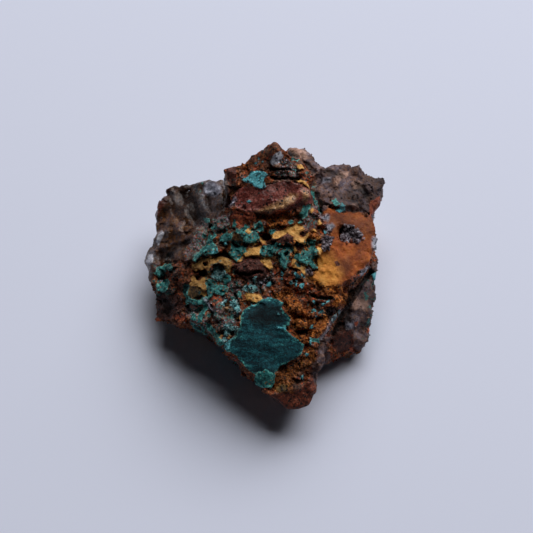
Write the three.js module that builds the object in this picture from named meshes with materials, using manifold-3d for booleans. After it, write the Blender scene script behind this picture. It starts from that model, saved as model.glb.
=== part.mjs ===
// Pseudomalachite specimen: one broken piece of iron-stained copper ore, with teal
// pseudomalachite crusts and ochre limonite grown onto it.  Millimetres, +Z up, the flat
// base on Z = 0, the narrow snout towards -Y, the peak at the back.
//
// The stone is one body.  Its broken chunks are convex hulls of a few corners each, every one
// skinned by a geodesic sphere pushed out to the hull and roughened, and all joined.  Crusts
// are pieces of a slightly thicker copy of that skin, cut to an outline.  Overhangs and pits
// are cut out, and knobs and granules are joined on.
import * as THREE from "three";
import { ConvexGeometry } from "three/addons/geometries/ConvexGeometry.js";
import { ConvexHull } from "three/addons/math/ConvexHull.js";
import { ImprovedNoise } from "three/addons/math/ImprovedNoise.js";
import { mergeVertices } from "three/addons/utils/BufferGeometryUtils.js";
import Module from "manifold-3d";

const wasm = await Module();
wasm.setup();

// ---- driving dimensions -----------------------------------------------------------------
const ROUGH_HEIGHT = 0.55; // relief of the broken faces
const ROUGH_SIZE = 4; // width of the largest bumps
const CHUNK_OCTAVES = 3; // sizes of bump on a chunk, each half the one before
const LUMP_ROUGH_SIZE = 1.5; // width of the bumps on lumps, granules and hollows
const LUMP_OCTAVES = 2;
const LUMP_ROUGHNESS = 0.3; // relief of a lump or hollow, as a share of its radius
const GRANULE_ROUGHNESS = 0.5;
const GRANULE_LEAST = 0.7; // smallest and largest granule, as shares of its zone's radius
const GRANULE_MOST = 1.3;
const GRANULE_RISE = 0.1; // height of a granule's centre over the rock, as a share of its radius
const ABOVE_STONE = 40; // a height that clears the peak
const FLOOR_BLOCK = 80; // side of the block that cuts the flat base
const MERGE_GAP = 1e-4; // vertices nearer than this are one

// Geodesic divisions of the small round forms: the brown knob comes first in LUMPS.
const KNOB_DETAIL = 2;
const LUMP_DETAIL = 1;
const HOLLOW_DETAIL = 2;
const GRANULE_DETAIL = 0;

// Each broken chunk: its corners [x, y, z] and its geodesic divisions.
const CHUNKS = {
  body: {
    detail: 8,
    corners: [
      [-6, 10.5, 18], [-4, 13, 20], [1, 16.5, 21], [6, 13, 20], [9.5, 6, 17.5], [11, 2, 16.2],
      [12, -3, 14], [10.3, -9, 12], [8, -13.5, 9.5], [-6.5, -12.5, 10.5], [-11, -8.5, 11],
      [-10.5, -0.5, 13.5], [-8.5, 6, 16], [-9, -6, -1], [-3, -11, -1], [6, -12, -1],
      [12, -6, -1], [13, 6, -1], [9, 16, -1], [-2, 17, -1], [-10, 12, -1], [-12, 3, -1],
    ],
  },
  snout: {
    detail: 5,
    corners: [
      [7, -16.2, 8], [6.9, -18.2, 6.5], [6.3, -19.9, 6], [4.9, -20.6, 5.8], [3.3, -20.5, 6.2],
      [1, -19.2, 7.5], [-1.9, -17, 8.6], [-4, -14.5, 10], [-7, -12, 11], [-8, -8, 12.4],
      [2, -4, 14.6], [9, -7, 12.6], [9.5, -11, 10.8], [4.6, -19.2, 3.2], [0, -14, 2.5],
      [7, -13, 2], [3, -8, -1], [-5, -10, 1],
    ],
  },
  ledge: {
    detail: 5,
    corners: [
      [-6.4, 11.5, 20.5], [-5.6, 7.9, 19], [0.5, 7.1, 18.6], [1, 8.4, 20.4], [4, 8.6, 19.6],
      [7.5, 9.8, 19.8], [8, 11.5, 20], [-6.5, 13.4, 21], [-3.7, 14.5, 22], [-2.5, 15.2, 22.5],
      [-0.7, 16, 23], [5.2, 15, 21.8], [6.3, 12, 21], [-5, 11, 17.8], [0.5, 10, 17.6],
      [7, 12, 18], [0, 16, 14], [-5.5, 12.5, 15],
    ],
  },
  knob: {
    detail: 2,
    corners: [
      [-1.2, 15, 22.6], [0.2, 16.5, 23.2], [1.2, 16.8, 24.2], [3, 16.1, 22.9],
      [4.8, 15, 22], [1.8, 13.3, 22.3], [1.5, 15.5, 18], [-1.5, 15, 18], [4.5, 14, 18],
    ],
  },
  rightHump: {
    detail: 4,
    corners: [
      [9, 16.6, 15.6], [11, 17.9, 14.7], [13, 18.5, 14], [14.9, 18.1, 14], [16.3, 17, 13],
      [19.3, 16.7, 11.5], [18.9, 14.9, 10.8], [17.5, 11.6, 11.5], [12.5, 9.5, 16.3], [9.4, 10, 17],
      [15.5, 12, 15], [17.1, 10, 12.6],
      [9, 15, 2], [15, 15, 4], [17, 14, 6], [16, 8, 3], [5, 8, 3], [6, 13, 16.5],
    ],
  },
  orangeSlab: {
    detail: 5,
    corners: [
      [9, 9.5, 17.2], [16.7, 11.5, 13], [17.2, 9, 12.5], [17.8, 5.5, 12.5], [15.8, 0, 12],
      [13.5, -3, 13.2], [10, -1.5, 15.2], [7, 4, 17.2], [14, -1, 7], [16, 3, 7], [16.5, 8, 7],
      [3, 0, 5],
    ],
  },
  rightFoot: {
    detail: 3,
    corners: [
      [18, 4, 7], [17.5, 8, 8.5], [17.4, -2, 6], [16.9, -5, 6.3], [16.5, -8, 4.5],
      [15.2, -9.3, 3], [12.6, -10.5, 3], [9.7, -12, 3.5], [12, -3, 10], [9, -9, 8.6],
      [15.5, -7, -1], [11, -10, -0.5], [16, 2, -1], [4, 0, -1],
    ],
  },
  backHump: {
    detail: 2,
    corners: [
      [2.6, 20, 12.5], [3.7, 21.3, 13], [6.2, 21.2, 14], [8, 19.3, 14], [10, 16.5, 14],
      [2, 16, 17], [7, 14, 17.5], [3, 19, 3], [9, 17.5, 3], [5, 10, 3],
    ],
  },
  leftShelf: {
    detail: 3,
    corners: [
      [-7, 15.5, 13.5], [-14.5, 15, 9.5], [-17.4, 11, 7.8], [-17.8, 3, 6], [-16.6, -4, 5],
      [-11, -8.4, 10.8], [-7, -8, 13], [-7, 3, 16], [-7, 10, 16.5], [-13, -2, 0],
      [-13.5, 6, -1], [-11, 13, -1], [-3, 12, -1], [-3, 0, -1], [-8, -6, 0],
    ],
  },
  leftBack: {
    detail: 3,
    corners: [
      [-9.5, 16, 12.5], [-15.7, 16, 10], [-17, 13.5, 9.5], [-17.7, 12, 8], [-17.4, 9.3, 8], [-14, 8, 11],
      [-8, 10, 14.3], [-6, 13.5, 15], [-15, 12.5, 3], [-6, 14, -1], [-4, 8, -1],
    ],
  },
  leftMid: {
    detail: 3,
    corners: [
      [-19.5, 4.2, 6.4], [-18.3, 7.2, 7.7], [-17.2, 9.5, 8], [-14, 9, 11], [-10, 7, 14.5], [-8.5, 1, 14.5],
      [-14, 0, 10.6], [-18.7, 1.5, 6.2], [-14.5, 5, 0], [-6, 2, -1], [-6, 8, -1],
    ],
  },
  leftFront: {
    detail: 3,
    corners: [
      [-18.2, 0.5, 6.7], [-17.8, -5, 4.8], [-15, -6.5, 6.5], [-11, -8.8, 11], [-8.5, -3, 14],
      [-14, 1, 10], [-14, -2, 1], [-7, -5, -1], [-6, 0, -1],
    ],
  },
};

// Crusts grown on the stone, seen from above: outlines [x, y] and how far each stands proud.
const CRUSTS = [
  { // the large teal plate of the front slope
    height: 0.5,
    outline: [
      [0, -5.2], [3.1, -5.9], [2.6, -6.8], [4, -8.5], [3.4, -9.4], [4.7, -11.3], [6.1, -11.8],
      [5.6, -13.4], [2.2, -15.2], [1.2, -16.4], [0.7, -18.3], [-0.6, -18.5], [-1.7, -17.4],
      [-1.8, -16.4], [-3.4, -15.5], [-5, -13.9], [-6.8, -12.4], [-5, -10.9], [-4.3, -9.3],
      [-4.1, -7.8], [-2.5, -6.1],
    ],
  },
  { // teal patch on the peak
    height: 0.4,
    outline: [
      [-3.8, 11.6], [-2.5, 12.4], [-1.4, 12.6], [0.1, 12.5], [-0.5, 11.6], [0.1, 10.7],
      [-1.1, 10.1], [-2.1, 10.5],
    ],
  },
  { // teal crusts below the ledge, left to right
    height: 0.6,
    outline: [
      [-8.9, 7.3], [-7.9, 6.3], [-7.7, 4.6], [-5.5, 4.4], [-5.4, 3.3], [-7.3, 1.9], [-9.2, 0.7],
      [-9.7, 2.4], [-8.8, 3.9],
    ],
  },
  {
    height: 0.8,
    outline: [[-4.8, 4.8], [-3.2, 5.5], [-1.3, 4.4], [-1.6, 3.5], [-2.7, 3.1], [-4.1, 3.5]],
  },
  {
    height: 0.5,
    outline: [
      [-1.6, 2.4], [1.8, 2.7], [0.9, 1.7], [-0.7, 0.9], [-2.9, 1], [-5.7, 1], [-6.5, 1.8],
      [-4.6, 2.5],
    ],
  },
  {
    height: 0.7,
    outline: [[2.5, 2.7], [3.9, 2.5], [4, 1.3], [3.3, -0.6], [2.5, -0.5], [2.3, 1]],
  },
  { // ochre arch and lump of the left edge
    height: 0.9,
    outline: [
      [-11.9, 0.8], [-10.2, 1.8], [-8.1, 1.2], [-6.2, 0.9], [-5.4, 0.2], [-5.7, -1], [-7, -0.3],
      [-8.4, 0], [-9, -1.1], [-10.7, 0.2],
    ],
  },
  {
    height: 0.9,
    outline: [
      [-12.2, -0.1], [-11.1, -0.2], [-9.2, -2.1], [-9.3, -3.6], [-10.6, -4.4], [-11.6, -4.6],
      [-12.7, -3.5],
    ],
  },
  { // ochre crusts beside the pit
    height: 0.7,
    outline: [
      [0.6, 4.3], [3.9, 5.7], [5.5, 5.7], [6.1, 5.1], [6.4, 3.8], [6.1, 2.8], [4.5, 2.9],
      [2.8, 3.4], [1.1, 3.4],
    ],
  },
  {
    height: 0.4,
    outline: [[-3.3, -4.4], [-1.3, -4.6], [-0.2, -5.9], [-2.4, -5.6]],
  },
  { // ochre tongue of the slab
    height: 0.4,
    outline: [
      [7.7, 1.7], [8, -0.6], [6.4, -1.9], [8.8, -3.5], [11.3, -3.3], [13.3, -1.7], [13.2, 0.2],
      [11.6, 2.6], [9.4, 2.7],
    ],
  },
];

// Rounded lumps: centre, radii, as [x, y, z].
const LUMPS = [
  { centre: [-2.4, -0.7, 15], radii: [2.9, 1.5, 1.3] }, // brown knob
  { centre: [-0.8, 5.9, 17.3], radii: [0.9, 0.8, 0.9] }, // round teal bud
  { centre: [-3.6, 4.4, 17], radii: [0.7, 0.6, 0.7] }, // tan chip
  { centre: [5.4, 5.1, 17], radii: [1.6, 0.9, 0.8] },
  { centre: [8.1, 1.4, 16.7], radii: [0.8, 0.7, 0.7] },
  { centre: [4.4, -6.3, 13.4], radii: [1.5, 1.2, 1] },
  { centre: [5.7, -8.6, 12], radii: [1.2, 1.5, 0.9] },
  { centre: [10.6, -5, 12.9], radii: [1.3, 1.1, 0.9] },
  { centre: [3.6, -17.2, 7.9], radii: [1.7, 1.3, 0.9] },
  { centre: [-7.6, -3.7, 13], radii: [0.9, 0.9, 0.7] },
];

// Hollows cut into the stone: centre, radii.
const HOLLOWS = [
  { centre: [-0.2, 3.9, 16.9], radii: [0.75, 0.7, 1.1] }, // the dark pit
  { centre: [13.5, 5.3, 15.4], radii: [2.3, 1.8, 1.5] }, // quartz-lined cavity of the slab
  { centre: [-15.6, 3.4, 9.8], radii: [1.3, 1, 1.2] }, // teal-lined hollow of the left edge
];

// Open cracks: thin wedges, corners [x, y, z].
const CRACKS = [
  [
    [0.2, 13.4, 23.5], [5.4, 13, 22.4], [0.6, 13, 23.5], [5.2, 12.6, 22.4], [1.5, 13.6, 20.6],
    [4.4, 13.3, 20.4],
  ],
  [
    [0.4, 11.9, 23], [5.6, 11.7, 22.2], [0.6, 11.6, 23], [5.5, 11.3, 22.2], [1.5, 12.2, 20],
    [4.6, 12, 19.8],
  ],
];

// Zones strewn with granules: outline box centre and half sizes [x, y], how many, radius.
const GRANULE_ZONES = [
  { centre: [5.4, -3.6], half: [3.6, 2.6], count: 8, radius: 0.55 },
  { centre: [4.6, -16], half: [2.4, 2.4], count: 5, radius: 0.5 },
  { centre: [8.3, -7.6], half: [1.6, 2.6], count: 4, radius: 0.5 },
  { centre: [-6.5, -6.5], half: [1.8, 2.6], count: 4, radius: 0.45 },
];

// How far from origin, along direction, a hull's surface is left behind.
function exitDistance(hull, origin, direction) {
  let exit = Infinity;
  for (const face of hull.faces) {
    const slope = face.normal.dot(direction);
    if (slope > 0) {
      exit = Math.min(exit, (face.constant - face.normal.dot(origin)) / slope);
    }
  }
  return exit;
}

const noise = new ImprovedNoise();

// Octaves of smooth noise, about -1 to 1, with bumps of size mm and smaller.
const OCTAVE_WEIGHT = 0.6; // of each octave against the one before
const OCTAVE_SHIFT = 9; // offset between octaves, so that their bumps don't line up
const NOISE_GAIN = 1.6; // brings the summed noise back to about -1 to 1

function roughness(point, size, octaves) {
  let sum = 0;
  let weight = 1;
  let total = 0;
  for (let octave = 0; octave < octaves; octave += 1) {
    const { x, y, z } = point.clone().multiplyScalar(2 ** octave / size);
    sum += weight * noise.noise(x, y, z + OCTAVE_SHIFT * octave);
    total += weight;
    weight *= OCTAVE_WEIGHT;
  }
  return (NOISE_GAIN * sum) / total;
}

// One chunk's roughened skin, thickened by extra mm.
function chunkGeometry({ corners, detail }, extra) {
  const points = corners.map((corner) => new THREE.Vector3(...corner));
  const centre = new THREE.Box3().setFromPoints(points).getCenter(new THREE.Vector3());
  const hull = new ConvexHull().setFromPoints(points);
  const sphere = new THREE.IcosahedronGeometry(1, detail);
  sphere.deleteAttribute("normal");
  sphere.deleteAttribute("uv");
  const skin = mergeVertices(sphere, MERGE_GAP);
  const position = skin.getAttribute("position");
  const direction = new THREE.Vector3();
  const vertex = new THREE.Vector3();
  for (let i = 0; i < position.count; i += 1) {
    direction.fromBufferAttribute(position, i).normalize();
    const reach = exitDistance(hull, centre, direction);
    vertex.copy(centre).addScaledVector(direction, reach);
    const bump = ROUGH_HEIGHT * roughness(vertex, ROUGH_SIZE, CHUNK_OCTAVES);
    vertex.addScaledVector(direction, bump + extra);
    position.setXYZ(i, vertex.x, vertex.y, vertex.z);
  }
  for (const point of points) {
    snapNearest(position, centre, point);
  }
  return skin;
}

// Moves the vertex that lies nearest to a corner's direction onto that corner.
function snapNearest(position, centre, corner) {
  const wanted = corner.clone().sub(centre).normalize();
  const vertex = new THREE.Vector3();
  let nearest = 0;
  let best = -1;
  for (let i = 0; i < position.count; i += 1) {
    const likeness = vertex.fromBufferAttribute(position, i).sub(centre).normalize().dot(wanted);
    if (likeness > best) {
      best = likeness;
      nearest = i;
    }
  }
  position.setXYZ(nearest, corner.x, corner.y, corner.z);
}

// A closed geometry as a manifold-3d solid, and back.
function solidFrom(geometry) {
  const bare = geometry.index ? geometry.toNonIndexed() : geometry.clone();
  bare.deleteAttribute("normal");
  bare.deleteAttribute("uv");
  const merged = mergeVertices(bare, MERGE_GAP);
  return new wasm.Manifold(
    new wasm.Mesh({
      numProp: 3,
      vertProperties: merged.getAttribute("position").array,
      triVerts: new Uint32Array(merged.index.array),
    }),
  );
}

function geometryFrom(solid) {
  const mesh = solid.getMesh();
  return new THREE.BufferGeometry()
    .setAttribute("position", new THREE.BufferAttribute(mesh.vertProperties, 3))
    .setIndex(new THREE.BufferAttribute(mesh.triVerts, 1));
}

function stone(extra) {
  const chunks = Object.values(CHUNKS).map((chunk) => solidFrom(chunkGeometry(chunk, extra)));
  return wasm.Manifold.union(chunks);
}

// An upright prism over an outline, taller than the stone.
function prism(outline) {
  const shape = new THREE.Shape(outline.map(([x, y]) => new THREE.Vector2(x, y)));
  return solidFrom(new THREE.ExtrudeGeometry(shape, { depth: ABOVE_STONE, bevelEnabled: false }));
}

// A roughened ellipsoid.
function lump({ centre, radii }, detail, rough) {
  const ball = new THREE.IcosahedronGeometry(1, detail);
  const position = ball.getAttribute("position");
  const middle = new THREE.Vector3(...centre);
  const vertex = new THREE.Vector3();
  for (let i = 0; i < position.count; i += 1) {
    vertex.fromBufferAttribute(position, i).multiply(new THREE.Vector3(...radii));
    const place = vertex.clone().add(middle);
    vertex.multiplyScalar(1 + rough * roughness(place, LUMP_ROUGH_SIZE, LUMP_OCTAVES));
    vertex.add(middle);
    position.setXYZ(i, vertex.x, vertex.y, vertex.z);
  }
  return solidFrom(ball);
}

// Repeatable random numbers from 0 to 1, by a linear congruential generator.
const MULTIPLIER = 1664525;
const INCREMENT = 1013904223;
const MODULUS = 2 ** 32;

function randomStream(seed) {
  let state = seed;
  return () => {
    state = (state * MULTIPLIER + INCREMENT) % MODULUS;
    return state / MODULUS;
  };
}

// Granules half sunk in the body's top, found by dropping a ray onto it.
const GRANULE_SEED = 7;

function granules(bodyGeometry) {
  const random = randomStream(GRANULE_SEED);
  const target = new THREE.Mesh(bodyGeometry);
  const ray = new THREE.Raycaster();
  const balls = [];
  for (const { centre, half, count, radius } of GRANULE_ZONES) {
    for (let i = 0; i < count; i += 1) {
      const x = centre[0] + (2 * random() - 1) * half[0];
      const y = centre[1] + (2 * random() - 1) * half[1];
      const size = radius * THREE.MathUtils.lerp(GRANULE_LEAST, GRANULE_MOST, random());
      ray.set(new THREE.Vector3(x, y, ABOVE_STONE), new THREE.Vector3(0, 0, -1));
      const [hit] = ray.intersectObject(target);
      const granule = {
        centre: [x, y, hit.point.z + GRANULE_RISE * size],
        radii: [size, size, size],
      };
      balls.push(lump(granule, GRANULE_DETAIL, GRANULE_ROUGHNESS));
    }
  }
  return wasm.Manifold.union(balls);
}

const floorBlock = solidFrom(
  new THREE.BoxGeometry(FLOOR_BLOCK, FLOOR_BLOCK, FLOOR_BLOCK).translate(0, 0, -FLOOR_BLOCK / 2),
);

const body = stone(0);
const crusts = CRUSTS.map(({ outline, height }) => stone(height).intersect(prism(outline)));
const lumps = LUMPS.map((one, i) =>
  lump(one, i === 0 ? KNOB_DETAIL : LUMP_DETAIL, LUMP_ROUGHNESS),
);
const hollows = HOLLOWS.map((one) => lump(one, HOLLOW_DETAIL, LUMP_ROUGHNESS));
const cracks = CRACKS.map((corners) => {
  const wedge = new ConvexGeometry(corners.map((corner) => new THREE.Vector3(...corner)));
  return solidFrom(wedge);
});
const solid = wasm.Manifold.union([body, ...crusts, ...lumps, granules(geometryFrom(body))])
  .subtract(wasm.Manifold.union([floorBlock, ...hollows, ...cracks]));

// The stone stands with the middle of its bounding box over the origin.
const stoneGeometry = geometryFrom(solid);
stoneGeometry.computeBoundingBox();
const middle = stoneGeometry.boundingBox.getCenter(new THREE.Vector3());
stoneGeometry.translate(-middle.x, -middle.y, 0);

const rock = new THREE.Mesh(
  stoneGeometry,
  new THREE.MeshStandardMaterial({ color: 0x5a3a2c, roughness: 0.85, metalness: 0 }),
);
rock.name = "rock";

const specimen = new THREE.Group();
specimen.add(rock);
export default specimen;
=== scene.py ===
"""Dressed pseudomalachite specimen.

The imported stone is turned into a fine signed-distance grid, its skin is roughened there, mineral by
mineral, and the result is meshed again.  Each mineral's patches are outlines in the camera's frame,
projected onto the side of the stone that the camera sees; the other sides get patches from noise.
Shape work is in millimetres, and the finished meshes are written in metres.
"""
import math
from concurrent.futures import ThreadPoolExecutor

import bpy
import numpy as np
import openvdb
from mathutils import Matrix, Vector


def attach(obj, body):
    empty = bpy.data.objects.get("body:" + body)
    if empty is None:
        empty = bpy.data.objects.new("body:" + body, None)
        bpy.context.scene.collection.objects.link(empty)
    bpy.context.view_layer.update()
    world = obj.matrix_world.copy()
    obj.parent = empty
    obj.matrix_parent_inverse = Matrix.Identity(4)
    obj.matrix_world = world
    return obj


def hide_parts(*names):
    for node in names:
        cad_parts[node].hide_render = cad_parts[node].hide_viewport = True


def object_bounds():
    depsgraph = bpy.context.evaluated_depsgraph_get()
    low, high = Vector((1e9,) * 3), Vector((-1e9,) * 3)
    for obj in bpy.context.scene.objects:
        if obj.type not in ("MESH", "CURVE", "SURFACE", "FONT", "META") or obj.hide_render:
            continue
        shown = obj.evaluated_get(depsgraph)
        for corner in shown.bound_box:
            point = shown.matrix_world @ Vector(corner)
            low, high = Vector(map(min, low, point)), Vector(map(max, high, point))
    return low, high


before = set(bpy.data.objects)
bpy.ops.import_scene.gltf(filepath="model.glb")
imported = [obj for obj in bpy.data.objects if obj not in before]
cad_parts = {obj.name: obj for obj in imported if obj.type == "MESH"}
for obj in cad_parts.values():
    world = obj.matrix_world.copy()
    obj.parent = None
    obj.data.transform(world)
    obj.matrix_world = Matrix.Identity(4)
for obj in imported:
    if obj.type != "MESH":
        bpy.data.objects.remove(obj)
CAD_BOX = [list(corner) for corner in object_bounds()]

MM = 0.001

# ---- camera: 65 degrees above the horizon, looking along +Y ----
FRAME_PIXELS = 533
PIXELS_PER_MM = 6.3
CAMERA_DISTANCE = 320.0
CAMERA_ELEVATION = math.radians(65.0)
CAMERA_TARGET = np.array((0.10, 0.65, 12.0))
SENSOR = 36.0
CLIP_START = 0.01  # metres

RIGHT = np.array((1.0, 0.0, 0.0))
UP = np.array((0.0, math.sin(CAMERA_ELEVATION), math.cos(CAMERA_ELEVATION)))
BACK = np.array((0.0, -math.cos(CAMERA_ELEVATION), math.sin(CAMERA_ELEVATION)))


def to_pixels(points):
    """Pixel x, pixel y and height towards the camera of points in mm."""
    offset = points - CAMERA_TARGET
    height = offset @ BACK
    scale = PIXELS_PER_MM * CAMERA_DISTANCE / (CAMERA_DISTANCE - height)
    x = FRAME_PIXELS / 2 + (offset @ RIGHT) * scale
    y = FRAME_PIXELS / 2 - (offset @ UP) * scale
    return x, y, height


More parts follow.
